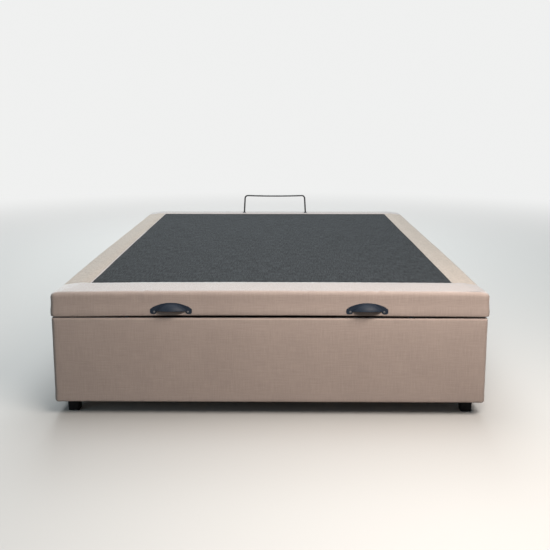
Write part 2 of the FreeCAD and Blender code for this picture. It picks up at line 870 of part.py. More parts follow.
def mattress_retainer():
    """A bent wire hoop: upright through the lid, leaning in above it, with a slightly bowed top bar."""
    y = float(retainer_y)
    foot = float(size.retainer_half_span)
    top = foot - float(size.retainer_lean)
    low_z = float(retainer_low)
    knee_z = float(lid_top + size.grommet_height)
    top_z = float(lid_top + size.retainer_height - size.retainer_rod_radius)
    sagged_z = top_z - float(size.retainer_sag)
    route = [(-foot, low_z), (-foot, knee_z), (-top, top_z), (0, sagged_z),
             (top, top_z), (foot, knee_z), (foot, low_z)]
    points = [FreeCAD.Vector(x, y, z) for x, z in route]
    knee, bend = float(size.retainer_knee), float(size.retainer_bend)
    sweep = (top - 2 * bend) * top / float(size.retainer_sag)
    path = bent_path(points, [knee, bend, sweep, bend, knee])
    section = Part.Wire([Part.makeCircle(float(size.retainer_rod_radius), points[0])])
    hoop = doc.addObject("Part::Feature", "mattress_retainer")
    hoop.Shape = path.makePipeShell([section], True, False)
    keep(hoop)


def retainer_fittings():
    """A grommet round each leg on the lid's top, and a nut under the batten."""
    grommets = []
    nuts = []
    for side, sign in SIDES.items():
        x = sign * size.retainer_half_span
        collar = taper(f"grommet_collar_{side}", (x, retainer_y, lid_top), "+z",
                       size.grommet_radius, size.grommet_radius - size.grommet_height / 2,
                       size.grommet_height)
        grommet_bore = round_bar(f"grommet_bore_{side}", (x, retainer_y, lid_top), "+z",
                                 size.retainer_rod_radius + size.hole_clearance, size.grommet_height)
        grommets.append(cut(f"grommet_{side}", collar, [grommet_bore]))
        hexagon = doc.addObject("Part::Prism", f"nut_hexagon_{side}")
        hexagon.Polygon = 6
        bind(hexagon, "Circumradius", size.nut_radius)
        bind(hexagon, "Height", size.nut_height)
        place(hexagon, (x, retainer_y, slat_low - size.nut_height))
        nut_bore = round_bar(f"nut_bore_{side}", (x, retainer_y, slat_low - size.nut_height), "+z",
                             size.retainer_rod_radius + size.thread_clearance, size.nut_height)
        nuts.append(cut(f"nut_{side}", hexagon, [nut_bore]))
    keep(group("retainer_grommets", grommets))
    keep(group("retainer_nuts", nuts))


# Hinges

def hinge_leaf(name, middle, sign, own_knuckles, drills):
    """One leaf of a butt hinge; sign is 1 for the leaf on the lid and -1 for the one on the box."""
    edge_z = hinge_z + sign * (size.knuckle_radius + size.knuckle_clearance)
    far_z = hinge_z + sign * size.leaf_height
    low_z, high_z = (edge_z, far_z) if sign > 0 else (far_z, edge_z)
    leaf_back = head_face + size.leaf_thick
    left = middle - size.hinge_width / 2
    pieces = [block(f"{name}_plate", (left, head_face, low_z), (left + size.hinge_width, leaf_back, high_z))]
    pitch = size.hinge_width / KNUCKLE_COUNT
    for index in own_knuckles:
        start = left + pitch * index + size.knuckle_clearance / 2
        length = pitch - size.knuckle_clearance
        tab_low, tab_high = (hinge_z, edge_z) if sign > 0 else (edge_z, hinge_z)
        pieces.append(block(f"{name}_tab_{index}", (start, head_face, tab_low),
                            (start + length, leaf_back, tab_high)))
        pieces.append(round_bar(f"{name}_knuckle_{index}", (start, hinge_y, hinge_z), "+x",
                                size.knuckle_radius, length))
    bore = round_bar(f"{name}_bore", (left, hinge_y, hinge_z), "+x",
                     size.hinge_pin_radius + size.thread_clearance, size.hinge_width)
    return cut(name, fuse(f"{name}_blank", pieces), [bore] + drills)


KNUCKLE_COUNT = 5
LEAF_SCREWS = 3


def hinges():
    box_leaves = []
    lid_leaves = []
    pins = []
    for number, (place_name, middle) in enumerate(hinge_places.items()):
        own = slice(number * LEAF_SCREWS, (number + 1) * LEAF_SCREWS)
        box_leaves.append(hinge_leaf(f"box_leaf_{place_name}", middle, -1,
                                     range(0, KNUCKLE_COUNT, 2), box_leaf_drills[own]))
        lid_leaves.append(hinge_leaf(f"lid_leaf_{place_name}", middle, 1,
                                     range(1, KNUCKLE_COUNT, 2), lid_leaf_drills[own]))
        pins.append(round_bar(f"pin_{place_name}", (middle - size.hinge_width / 2, hinge_y, hinge_z), "+x",
                              size.hinge_pin_radius, size.hinge_width))
    keep(group("hinge_box_leaves", box_leaves))
    keep(group("hinge_lid_leaves", lid_leaves))
    keep(group("hinge_pins", pins))


# Gas struts

INWARD = {"left": "+x", "right": "-x"}


def strut_bracket(name, side, sign, stud, drills):
    """A plate with a collared stud, riveted over at its end so that the strut's eye stays on."""
    y, z = stud
    face = side_in - size.bracket_thick
    near, far = mirrored_span(sign, face, side_in)
    plate_blank = block(f"{name}_blank",
                        (near, y - size.bracket_length / 2, z - bracket_height / 2),
                        (far, y + size.bracket_length / 2, z + bracket_height / 2))
    plate = rounded(f"{name}_plate", plate_blank, size.bracket_corner, along_x)
    stud_length = size.collar_length + eye_thick + 2 * size.eye_play
    collar = round_bar(f"{name}_collar", (sign * face, y, z), INWARD[side],
                       size.collar_radius, size.collar_length)
    shank = round_bar(f"{name}_stud", (sign * face, y, z), INWARD[side], size.stud_radius, stud_length)
    head = round_bar(f"{name}_rivet", (sign * (face - stud_length), y, z), INWARD[side],
                     size.collar_radius, size.stud_head_thick)
    keep(cut(name, fuse(f"{name}_body", [plate, collar, shank, head]), drills))


def lean_at(obj, stud, x):
    """Stand an upright strut piece on its stud, leaning as the closed strut does."""
    y, z = stud
    lean = FreeCAD.Rotation(FreeCAD.Vector(1, 0, 0), float(strut_lean))
    obj.Placement = FreeCAD.Placement(FreeCAD.Vector(), lean)
    bind(obj, "Placement.Rotation.Angle", strut_lean)
    place(obj, (x, y, z))


def with_eye(name, pieces):
    """Weld an eye for the stud to the end of a strut piece that stands at the origin."""
    eye_start = (-eye_thick / 2, Length(0), Length(0))
    eye = round_bar(f"{name}_eye", eye_start, "+x", size.eye_radius, eye_thick)
    bore = round_bar(f"{name}_eye_bore", eye_start, "+x",
                     size.stud_radius + size.stud_clearance, eye_thick)
    return cut(name, fuse(f"{name}_body", pieces + [eye]), [bore])


def gas_strut(side, sign):
    x = sign * strut_x
    zero = Length(0)
    inner_end = size.tube_start + size.tube_end_wall
    mouth = size.rod_radius + size.tube_lip
    tube = turned(f"strut_tube_{side}", [
        (zero, size.tube_start), (size.tube_radius, size.tube_start), (size.tube_radius, tube_end),
        (mouth, tube_end), (mouth, gland_top), (tube_bore, gland_top), (tube_bore, inner_end),
        (zero, inner_end),
    ])
    neck = round_bar(f"strut_neck_{side}", (zero, zero, zero), "+z", size.neck_radius, size.tube_start)
    cylinder = with_eye(f"strut_cylinder_{side}", [tube, neck])
    lean_at(cylinder, box_stud, x)
    keep(cylinder)

    rod_hole = size.rod_radius + size.spigot_clearance
    gland_radius = tube_bore - size.spigot_clearance
    gland = turned(f"strut_gland_{side}", [
        (rod_hole, gland_low), (gland_radius, gland_low), (gland_radius, gland_top), (rod_hole, gland_top),
    ])
    lean_at(gland, box_stud, x)
    keep(gland)

    rod_bar = round_bar(f"strut_rod_bar_{side}", (zero, zero, zero), "-z", size.rod_radius, rod_length)
    piston = round_bar(f"strut_piston_{side}", (zero, zero, -rod_length), "+z",
                       tube_bore - size.piston_play, size.piston_length)
    rod = with_eye(f"strut_rod_{side}", [rod_bar, piston])
    lean_at(rod, lid_stud, x)
    keep(rod)


def lift_hardware():
    box_screws = hardware_screws("box_leaf_screw", box_leaf_seats, "-y")
    lid_screws = hardware_screws("lid_leaf_screw", lid_leaf_seats, "-y")
    for side, sign in SIDES.items():
        strut_bracket(f"strut_box_bracket_{side}", side, sign, box_stud, box_bracket_drills[side])
        strut_bracket(f"strut_lid_bracket_{side}", side, sign, lid_stud, lid_bracket_drills[side])
        gas_strut(side, sign)
        box_screws += hardware_screws(f"box_bracket_screw_{side}", box_bracket_seats[side], OUTWARD[side])
        lid_screws += hardware_screws(f"lid_bracket_screw_{side}", lid_bracket_seats[side], OUTWARD[side])
    keep(group("box_hardware_screws", box_screws))
    keep(group("lid_hardware_screws", lid_screws))


# Build every piece, test it and write it out

def write_parts():
    doc.recompute()
    failed = [obj.Label for obj in doc.Objects if {"Invalid", "Error"} & set(obj.State)]
    failed += [obj.Label for obj in parts if obj.Shape.isNull() or not obj.Shape.isValid()]
    if failed:
        raise RuntimeError(f"pieces that failed to build: {failed}")
    os.makedirs("parts", exist_ok=True)
    for obj in parts:
        obj.Shape.exportStep(os.path.join("parts", f"{obj.Label}.step"))


box_boards()
corner_posts()
floor_of_box()
box_cover()
bumpers()
legs()
lid_rails()
lid_slats()
lid_deck_and_foam()
lid_cover()
anti_slip_panel()
cup_pulls()
mattress_retainer()
retainer_fittings()
hinges()
lift_hardware()
write_parts()
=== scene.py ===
"""Looks of an upholstered storage bed base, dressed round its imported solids.

Metres, +Z up, +X across the bed, +Y from the foot end with the handles to the head end with the hinges.
"""

import math

import bmesh
import bpy
from mathutils import Matrix, Vector, noise


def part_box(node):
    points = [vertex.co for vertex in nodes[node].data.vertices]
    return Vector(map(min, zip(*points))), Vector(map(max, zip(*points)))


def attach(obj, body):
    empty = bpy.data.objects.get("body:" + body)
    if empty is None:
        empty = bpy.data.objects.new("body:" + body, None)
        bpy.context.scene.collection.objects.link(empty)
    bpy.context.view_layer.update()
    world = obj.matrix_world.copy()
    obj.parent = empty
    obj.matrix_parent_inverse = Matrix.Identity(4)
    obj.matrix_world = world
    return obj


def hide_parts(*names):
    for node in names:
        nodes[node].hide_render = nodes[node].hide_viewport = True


MM = 0.001
X, Y, Z = range(3)
LEFT_RIGHT = (-1, 1)

# How far apart two places, lengths or points may be and still count as the same, and the share of its length
# that an edge has along the axis it follows
SAME_PLACE, SAME_LENGTH, SAME_POINT, STRAIGHT = 0.05 * MM, 0.1 * MM, 0.01 * MM, 0.999

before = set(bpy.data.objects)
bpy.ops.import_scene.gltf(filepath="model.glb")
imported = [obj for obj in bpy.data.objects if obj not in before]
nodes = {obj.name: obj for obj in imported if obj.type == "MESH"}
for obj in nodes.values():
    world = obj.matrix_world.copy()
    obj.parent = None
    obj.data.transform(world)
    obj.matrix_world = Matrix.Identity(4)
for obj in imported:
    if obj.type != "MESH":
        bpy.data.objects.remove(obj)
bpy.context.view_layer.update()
bpy.ops.object.select_all(action="DESELECT")

box_low, box_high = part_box("box_cover")
lid_low, lid_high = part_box("lid_cover")
panel_low, panel_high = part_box("anti_slip_panel")


# Modelling helpers: each one does what a hand would do with the same tool

def begin(name, add, **shape):
    """Add a primitive alone in the selection, set its place into its mesh and open it for editing."""
    bpy.ops.object.select_all(action="DESELECT")
    add(**shape)
    piece = bpy.context.object
    piece.name = piece.data.name = name
    bpy.ops.object.transform_apply(location=True, rotation=True, scale=True)
    bpy.ops.object.mode_set(mode="EDIT")
    return piece


def begin_block(name, low, high):
    return begin(name, bpy.ops.mesh.primitive_cube_add, size=1,
                 location=(Vector(low) + Vector(high)) / 2, scale=Vector(high) - Vector(low))


def pick(kind, test, rim_only=False):
    """Select in edit mode the vertices, edges or faces that pass a test of their vertices' places."""
    bpy.ops.mesh.select_mode(type=kind)
    bpy.ops.mesh.select_all(action="DESELECT")
    mesh = bpy.context.edit_object.data
    shape = bmesh.from_edit_mesh(mesh)
    for item in {"VERT": shape.verts, "EDGE": shape.edges, "FACE": shape.faces}[kind]:
        points = [item.co] if kind == "VERT" else [corner.co for corner in item.verts]
        if test(points) and (not rim_only or item.is_boundary):
            item.select_set(True)
    shape.select_flush_mode()
    bmesh.update_edit_mesh(mesh)


def pick_rim(test):
    """Select the open edges that pass a test of their ends."""
    pick("EDGE", test, rim_only=True)


def pick_all():
    bpy.ops.mesh.select_all(action="SELECT")


def all_near(axis, place):
    """A test for points that all lie on one plane square to an axis."""
    return lambda points: all(abs(point[axis] - place) < SAME_PLACE for point in points)


def runs_along(axis):
    """A test for edges that follow one axis."""
    def test(points):
        run = points[1] - points[0]
        return abs(run[axis]) > STRAIGHT * run.length
    return test


def bevel(width, steps):
    bpy.ops.mesh.bevel(offset=width, segments=steps, affect="EDGES", clamp_overlap=True)


def slice_at(axis, place):
    """Cut the whole mesh along a plane square to one axis."""
    bpy.ops.mesh.select_mode(type="VERT")
    pick_all()
    point, normal = Vector(), Vector()
    point[axis], normal[axis] = place, 1
    bpy.ops.mesh.bisect(plane_co=point, plane_no=normal)


def cut_off(point, normal):
    """Cut the whole mesh along a plane and drop the part that the normal points to."""
    pick_all()
    bpy.ops.mesh.bisect(plane_co=point, plane_no=normal, clear_outer=True)


def merge_points():
    pick_all()
    bpy.ops.mesh.remove_doubles(threshold=SAME_POINT)


def turn_faces_out():
    pick_all()
    bpy.ops.mesh.normals_make_consistent(inside=False)


def divide(axis, spacing):
    """Divide every edge that runs along one axis into steps of about the same spacing."""
    follows = runs_along(axis)
    shape = bmesh.from_edit_mesh(bpy.context.edit_object.data)
    lengths = {round(edge.calc_length(), 4) for edge in shape.edges
               if follows([corner.co for corner in edge.verts])}
    for length in sorted(lengths):
        cuts = round(length / spacing) - 1
        if cuts > 0:
            pick("EDGE", lambda points: (
                abs(abs((points[1] - points[0])[axis]) - length) < SAME_LENGTH
                and (points[1] - points[0]).length < length + SAME_LENGTH))
            bpy.ops.mesh.subdivide(number_cuts=cuts)


def drop_faces(test):
    pick("FACE", test)
    bpy.ops.mesh.delete(type="FACE")


def extrude_rim(move=(0, 0, 0), inward=0.0):
    """Pull a new strip out of the selected open edges; inward narrows it by that much on every side."""
    bpy.ops.mesh.extrude_edges_move(TRANSFORM_OT_translate={"value": move})
    if inward:
        shape = bmesh.from_edit_mesh(bpy.context.edit_object.data)
        chosen = [corner.co for corner in shape.verts if corner.select]
        low = Vector(map(min, zip(*chosen)))
        high = Vector(map(max, zip(*chosen)))
        spread = high - low
        bpy.ops.transform.resize(
            value=((spread.x - 2 * inward) / spread.x, (spread.y - 2 * inward) / spread.y, 1),
            center_override=(low + high) / 2)


def end_edit():
    bpy.ops.object.mode_set(mode="OBJECT")


def apply_modifier(piece, kind, **settings):
    bpy.context.view_layer.objects.active = piece
    tool = piece.modifiers.new(kind.title(), kind)
    for name, value in settings.items():
        setattr(tool, name, value)
    bpy.ops.object.modifier_apply(modifier=tool.name)


def choose(*pieces):
    """Select these pieces alone; the first one becomes the active one."""
    bpy.ops.object.select_all(action="DESELECT")
    for piece in pieces:
        piece.select_set(True)
    bpy.context.view_layer.objects.active = pieces[0]


def smooth_shade(piece, degrees=40):
    choose(piece)
    bpy.ops.object.shade_smooth_by_angle(angle=math.radians(degrees))


def unwrap_flat(piece):
    """Lay a UV map in metres on the piece, each face seen square on."""
    choose(piece)
    bpy.ops.object.mode_set(mode="EDIT")
    pick_all()
    bpy.ops.uv.cube_project(cube_size=1.0, correct_aspect=False, scale_to_bounds=False)
    end_edit()


def push_points(piece, move):
    """Move every vertex by what a function of its place and outward direction gives."""
    mesh = piece.data
    moved = [point.co + move(point.co.copy(), point.normal.copy()) for point in mesh.vertices]
    for point, place in zip(mesh.vertices, moved):
        point.co = place
    mesh.update()


def hill(distance, width):
    """A smooth bump: 1 at the middle, fading to nothing over about twice the width."""
    return math.exp(-(distance / width) ** 2)


def ease(share):
    """A smooth step from 0 to 1 over a share from 0 to 1."""
    share = min(max(share, 0.0), 1.0)
    return share * share * (3 - 2 * share)


def unevenness(place, waves, seed):
    """Smooth noise with about that many waves to the metre; every seed gives another noise."""
    return noise.noise(place * waves + Vector((seed, seed * 0.37, seed * 0.61)))


def dress(piece, material, body, slot_name, *replaced):
    """Give a piece its finish, hang it on its body and let it stand for the solids it replaces."""
    piece.data.materials.clear()
    piece.data.materials.append(material)
    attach(piece, body)
    if replaced:
        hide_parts(*replaced)


# Node helpers

def feed(tree, socket, value):
    """Link an output to a socket, or set the socket to a plain value."""
    if isinstance(value, bpy.types.NodeSocket):
        tree.links.new(value, socket)
    else:
        socket.default_value = value


def set_inputs(tree, made, **sockets):
    for name, value in sockets.items():
        feed(tree, made.inputs[name.replace("_", " ")], value)


def add_node(tree, kind, settings=None, values=(), **sockets):
    """Add a node, set its options and feed its inputs by order or by name."""
    made = tree.nodes.new(kind)
    for name, value in (settings or {}).items():
        setattr(made, name, value)
    for socket, value in zip(made.inputs, values):
        feed(tree, socket, value)
    set_inputs(tree, made, **sockets)
    return made


def calc(tree, operation, *values):
    return add_node(tree, "ShaderNodeMath", {"operation": operation}, values).outputs[0]


def range_node(tree, value, low, high, start=0.0, end=1.0, **settings):
    """Turn a value that runs from start to end into one that runs from low to high."""
    made = add_node(tree, "ShaderNodeMapRange", settings, [value, start, end, low, high])
    return made.outputs["Result"]


def noise_node(tree, place, scale, detail, roughness=0.5, output="Fac"):
    return add_node(tree, "ShaderNodeTexNoise", Vector=place, Scale=scale, Detail=detail,
                    Roughness=roughness).outputs[output]


def mix_colours(tree, share, first, second):
    made = add_node(tree, "ShaderNodeMix", {"data_type": "RGBA"})
    sockets = {socket.identifier: socket for socket in made.inputs}
    feed(tree, sockets["Factor_Float"], share)
    feed(tree, sockets["A_Color"], (*first, 1))
    feed(tree, sockets["B_Color"], (*second, 1))
    return next(socket for socket in made.outputs if socket.identifier == "Result_Color")


def new_group(name, inputs, outputs):
    """An empty node group with named number or vector sockets."""
    tree = bpy.data.node_groups.new(name, "ShaderNodeTree")
    for label, kind, value in inputs:
        socket = tree.interface.new_socket(label, in_out="INPUT", socket_type=kind)
        if value is not None:
            socket.default_value = value
    for label, kind in outputs:
        tree.interface.new_socket(label, in_out="OUTPUT", socket_type=kind)
    return tree, tree.nodes.new("NodeGroupInput"), tree.nodes.new("NodeGroupOutput")


def use_group(tree, group, **sockets):
    return add_node(tree, "ShaderNodeGroup", {"node_tree": group}, **sockets)


def new_material(name):
    material = bpy.data.materials.new(name)
    material.use_nodes = True
    tree = material.node_tree
    return material, tree, tree.nodes["Principled BSDF"]


FLOAT, VECTOR = "NodeSocketFloat", "NodeSocketVector"


# Effects that several finishes share

def make_weave():
    """Plain weave on a flat map in metres: thread height, uneven yarns in both directions, broad clouds."""
    tree, given, result = new_group(
        "plain_weave",
        [("Map", VECTOR, None), ("Threads", FLOAT, 700.0), ("Yarn Width", FLOAT, 400.0),
         ("Yarn Length", FLOAT, 25.0)],
        [("Height", FLOAT), ("Warp", FLOAT), ("Weft", FLOAT), ("Clouds", FLOAT)])
    split = add_node(tree, "ShaderNodeSeparateXYZ", values=[given.outputs["Map"]])
    across, along = split.outputs["X"], split.outputs["Y"]
    warp = calc(tree, "MULTIPLY", across, given.outputs["Threads"])
    weft = calc(tree, "MULTIPLY", along, given.outputs["Threads"])

    def bulge(threads):
        return calc(tree, "SINE", calc(tree, "MULTIPLY", calc(tree, "FRACT", threads), math.pi))

    square = calc(tree, "ADD", calc(tree, "FLOOR", warp), calc(tree, "FLOOR", weft))
    over = calc(tree, "PINGPONG", square, 1.0)
    under = calc(tree, "SUBTRACT", 1.0, over)
    height = calc(tree, "ADD", calc(tree, "MULTIPLY", over, bulge(warp)),
                  calc(tree, "MULTIPLY", under, bulge(weft)))

    def yarns(x_scale, y_scale, shift):
        stretched = add_node(tree, "ShaderNodeCombineXYZ", values=[
            calc(tree, "MULTIPLY", across, x_scale), calc(tree, "MULTIPLY", along, y_scale), shift])
        return noise_node(tree, stretched.outputs[0], scale=1.0, detail=3.0, roughness=0.6)

    width, length = given.outputs["Yarn Width"], given.outputs["Yarn Length"]
    clouds = noise_node(tree, given.outputs["Map"], scale=7.0, detail=3.0, roughness=0.55)
    set_inputs(tree, result, Height=height, Clouds=clouds, Warp=yarns(width, length, shift=3.0),
               Weft=yarns(length, width, shift=7.0))
    return tree


def make_grain():
    """Sawn softwood along the X of the given place: growth lines, fibres and broad tone."""
    tree, given, result = new_group(
        "wood_grain", [("Place", VECTOR, None), ("Ring Spacing", FLOAT, 60.0)],
        [("Rings", FLOAT), ("Fibres", FLOAT), ("Tone", FLOAT)])
    place = given.outputs["Place"]
    long_place = add_node(tree, "ShaderNodeMapping", Vector=place, Scale=(0.12, 1.0, 1.0)).outputs[0]
    warped = noise_node(tree, long_place, scale=9.0, detail=2.0, output="Color")
    bent = add_node(tree, "ShaderNodeVectorMath", {"operation": "MULTIPLY_ADD"},
                    [warped, (0.035, 0.035, 0.035), long_place]).outputs[0]
    rings = add_node(tree, "ShaderNodeTexWave", {"wave_type": "RINGS", "rings_direction": "X"},
                     Vector=bent, Scale=given.outputs["Ring Spacing"], Distortion=1.2, Detail=2.0,
                     Detail_Scale=1.5)
    fibre_place = add_node(tree, "ShaderNodeMapping", Vector=place, Scale=(14.0, 900.0, 900.0)).outputs[0]
    set_inputs(tree, result, Rings=rings.outputs["Fac"],
               Fibres=noise_node(tree, fibre_place, scale=1.0, detail=2.0),
               Tone=noise_node(tree, long_place, scale=4.0, detail=1.0))
    return tree


def make_wear():
    """Fine scuffs and smudges for plastic and metal."""
    tree, given, result = new_group(
        "handled_surface", [("Place", VECTOR, None), ("Grain Scale", FLOAT, 900.0)],
        [("Grain", FLOAT), ("Smudges", FLOAT), ("Scuffs", FLOAT)])
    place = given.outputs["Place"]
    drawn = add_node(tree, "ShaderNodeMapping", Vector=place, Scale=(40.0, 500.0, 500.0),
                     Rotation=(0.4, 0.7, 0.2)).outputs[0]
    scratch = noise_node(tree, drawn, scale=1.0, detail=3.0)
    set_inputs(tree, result, Grain=noise_node(tree, place, given.outputs["Grain Scale"], detail=2.0),
               Smudges=noise_node(tree, place, scale=35.0, detail=4.0, roughness=0.6),
               Scuffs=range_node(tree, scratch, 0.0, 1.0, start=0.62, end=0.72))
    return tree


weave = make_weave()
grain = make_grain()
wear = make_wear()


# Finishes: the tones and the roughness are what a mask's 0 and 1 stand for

# The thread tone is painted shade: darker where each thread dips under the next, a little lighter on the
# crests
CLOUD_TONE, PAINTED_THREAD_SHADE, CLOTH_ROUGHNESS = (0.36, 0.64), (-0.14, 0.06), (0.95, 0.8)
SHEEN_TINT = (0.86, 0.95, 1.0, 1)
RING_TONE, BROAD_TONE, WOOD_ROUGHNESS = 0.55, (0.0, 0.5), (0.55, 0.8)
WORN_GAIN, WORN_LIFT, SMUDGE_TONE = 1.25, 0.02, (0.0, 0.4)
SMUDGE_SHINE, SMUDGE_DULLNESS, SCUFF_DULLNESS = 0.08, 0.1, 0.08


def cloth_finish(name, dark, light, threads, yarn, contrast, sheen, nap=0.4, turn=0.0, gloss=0.2):
    """Woven upholstery cloth on the piece's own flat map; yarn is its widths and lengths per metre.

    The nap is how widely the cloth's sheen spreads.
    """
    material, tree, shader = new_material(name)
    flat = add_node(tree, "ShaderNodeUVMap")
    place = add_node(tree, "ShaderNodeMapping", Vector=flat.outputs[0], Rotation=(0, 0, turn)).outputs[0]
    cloth = use_group(tree, weave, Map=place, Threads=threads, Yarn_Width=yarn[0], Yarn_Length=yarn[1])
    tone = range_node(tree, cloth.outputs["Warp"], -contrast, contrast)
    # The yarns and clouds vary the tone at random; the threads' height adds painted shade between them
    for mask, tones in (("Weft", (-contrast, contrast)), ("Clouds", CLOUD_TONE), ("Height", PAINTED_THREAD_SHADE)):
        tone = calc(tree, "ADD", tone, range_node(tree, cloth.outputs[mask], *tones))
    bump = add_node(tree, "ShaderNodeBump", Strength=0.35, Distance=0.4 * MM,
                    Height=calc(tree, "ADD", cloth.outputs["Height"], cloth.outputs["Weft"]))
    set_inputs(tree, shader, Base_Color=mix_colours(tree, tone, dark, light), Normal=bump.outputs[0],
               Roughness=range_node(tree, cloth.outputs["Height"], *CLOTH_ROUGHNESS),
               Sheen_Weight=sheen, Sheen_Roughness=nap, Sheen_Tint=SHEEN_TINT, Specular_IOR_Level=gloss)
    return material


def wood_finish(name, pale, dark, spacing, turn=(0, 0, 0), fibre=0.25):
    """Bare sawn wood whose grain runs along X before it is turned."""
    material, tree, shader = new_material(name)
    place = add_node(tree, "ShaderNodeTexCoord").outputs["Object"]
    turned = add_node(tree, "ShaderNodeMapping", Vector=place, Rotation=turn).outputs[0]
    wood = use_group(tree, grain, Place=turned, Ring_Spacing=spacing)
    share = calc(tree, "MULTIPLY_ADD", wood.outputs["Rings"], RING_TONE,
                 range_node(tree, wood.outputs["Tone"], *BROAD_TONE))
    share = calc(tree, "ADD", share, range_node(tree, wood.outputs["Fibres"], -fibre, fibre))
    bump = add_node(tree, "ShaderNodeBump", Strength=0.25, Distance=0.4 * MM, Height=wood.outputs["Fibres"])
    set_inputs(tree, shader, Base_Color=mix_colours(tree, share, pale, dark), Normal=bump.outputs[0],
               Roughness=range_node(tree, wood.outputs["Fibres"], *WOOD_ROUGHNESS), Specular_IOR_Level=0.35)
    return material


def plain_finish(name, colour, roughness, metallic=0.0, grain_scale=900.0, bump_size=0.1 * MM, scuffed=0.1,
                 gloss=0.5):
    """Moulded plastic, paint or plated metal with smudges and fine scuffs."""
    material, tree, shader = new_material(name)
    place = add_node(tree, "ShaderNodeTexCoord").outputs["Object"]
    surface = use_group(tree, wear, Place=place, Grain_Scale=grain_scale)
    smudges, scuffs = surface.outputs["Smudges"], surface.outputs["Scuffs"]
    worn = tuple(min(1.0, part * WORN_GAIN + WORN_LIFT) for part in colour)
    share = calc(tree, "MULTIPLY_ADD", scuffs, scuffed, range_node(tree, smudges, *SMUDGE_TONE))
    dullness = calc(
        tree, "ADD", range_node(tree, smudges, roughness - SMUDGE_SHINE, roughness + SMUDGE_DULLNESS),
        calc(tree, "MULTIPLY", scuffs, SCUFF_DULLNESS))
    bump = add_node(tree, "ShaderNodeBump", Strength=0.3, Distance=bump_size, Height=surface.outputs["Grain"])
    set_inputs(tree, shader, Base_Color=mix_colours(tree, share, colour, worn), Roughness=dullness,
               Metallic=metallic, Normal=bump.outputs[0], Specular_IOR_Level=gloss)
    return material


COVER_COLOURS = (0.30, 0.240, 0.212), (0.50, 0.40, 0.352)
COVER_WEAVE = {"threads": 800.0, "yarn": (330.0, 18.0), "contrast": 0.3}
PINE, PINE_RINGS = ((0.62, 0.43, 0.25), (0.40, 0.23, 0.11)), 42.0
QUARTER_TURN = math.pi / 2

cover_cloth = cloth_finish("cover_cloth", *COVER_COLOURS, **COVER_WEAVE, sheen=0.5, nap=0.27)
border_cloth = cloth_finish("border_cloth", *COVER_COLOURS, **COVER_WEAVE, sheen=1.0)
# The side strips' tops: the cover cloth with a coarser weave turned across, in darker, more olive colours
# that are painted shade for their nap turned from the light
side_cloth_painted_shade = cloth_finish(
    "side_cloth_painted_shade", (0.27, 0.224, 0.186), (0.445, 0.371, 0.308), threads=520.0, yarn=(330.0, 40.0),
    contrast=1.0, sheen=0.25, turn=QUARTER_TURN)
panel_cloth = cloth_finish(
    "panel_cloth", (0.005, 0.0057, 0.0063), (0.0345, 0.038, 0.0415), threads=620.0, yarn=(310.0, 22.0),
    contrast=1.7, sheen=0.05, gloss=0.06)
# The plastic is black; the blue tint in its colour is a painted reflection of the cool sky light
black_plastic = plain_finish("black_plastic", (0.003, 0.009, 0.020), roughness=0.55, gloss=0.27)
leg_plastic = plain_finish("leg_plastic", (0.003, 0.003, 0.0035), roughness=0.6, gloss=0.12)
black_paint = plain_finish("black_paint", (0.010, 0.010, 0.011), roughness=0.38)
zinc = plain_finish("zinc_plate", (0.42, 0.42, 0.41), roughness=0.42, metallic=1.0, scuffed=0.3)
dulled_steel = plain_finish("dulled_steel", (0.13, 0.13, 0.135), roughness=0.5, metallic=1.0, scuffed=0.3)
polished = plain_finish("polished_rod", (0.75, 0.75, 0.77), roughness=0.14, metallic=1.0)
pine_x = wood_finish("pine_across", *PINE, PINE_RINGS)
pine_y = wood_finish("pine_along", *PINE, PINE_RINGS, turn=(0, 0, QUARTER_TURN))
pine_z = wood_finish("pine_upright", *PINE, PINE_RINGS, turn=(0, QUARTER_TURN, 0))
hardboard = wood_finish("hardboard", (0.29, 0.185, 0.107), (0.25, 0.155, 0.087), spacing=3.0, fibre=0.6)
foam_finish = plain_finish("foam", (0.75, 0.71, 0.58), roughness=0.9, grain_scale=400.0, bump_size=0.6 * MM)


# Upholstery of the box

CORNER, CORNER_STEPS = 14 * MM, 6
JOINT_EDGE, EDGE_STEPS = 5.5 * MM, 5
CLOTH = 1.3 * MM
HEM, TURN_IN, TURN_EDGE, TURN_SLOPE = 19 * MM, 40 * MM, 2 * MM, 0.6 * MM
BOX_SPACING = (10 * MM, 12 * MM, 11 * MM)

# Depth and width of the upright seams in the corners
CORNER_SEAM, CORNER_SEAM_WIDTH = 0.9 * MM, 2.2 * MM

# The cloth is pressed down at the box's rim and drawn in below it, away from the corners
SINK, SINK_FROM, SINK_RUN = 0.9 * MM, 20 * MM, 14 * MM
DRAWN_IN, DRAWN_FROM, DRAWN_RUN, DRAWN_OFF_CORNER = 1.2 * MM, 50 * MM, 40 * MM, 30 * MM
RIM_WAVE, RIM_FACING = 0.25 * MM, 0.9

# Slack on the sides, which fades out over these parts of the height, and slanting creases low at the corners
BROAD_SLACK, FINE_SLACK, UPRIGHT_STRETCH = 0.9 * MM, 0.35 * MM, 0.6
FADE_LOW, FADE_HIGH = 12, 14
CREASE, CREASE_REACH, CREASE_RISE, CREASE_SLANT, CREASE_WAVES = 0.5 * MM, 90 * MM, 70 * MM, 1.3, 120


def make_cloth(piece, settle, thickness=CLOTH, even=True, degrees=50):
    """Let a skin settle, give it its thickness on the inside and lay its flat map."""
    push_points(piece, settle)
    apply_modifier(piece, "SOLIDIFY", thickness=thickness, offset=-1.0, use_even_offset=even)
    unwrap_flat(piece)
    smooth_shade(piece, degrees)


def corner_distances(place, low, high):
    """A point's distances from the nearest side and from the nearest end of a block."""
    return min(place.x - low.x, high.x - place.x), min(place.y - low.y, high.y - place.y)


def corner_seam(place, low, high):
    """How deep the upright seam in the middle of a rounded corner is at a point."""
    dx, dy = corner_distances(place, low, high)
    return CORNER_SEAM * hill(dx - dy, CORNER_SEAM_WIDTH) if max(dx, dy) < CORNER else 0.0


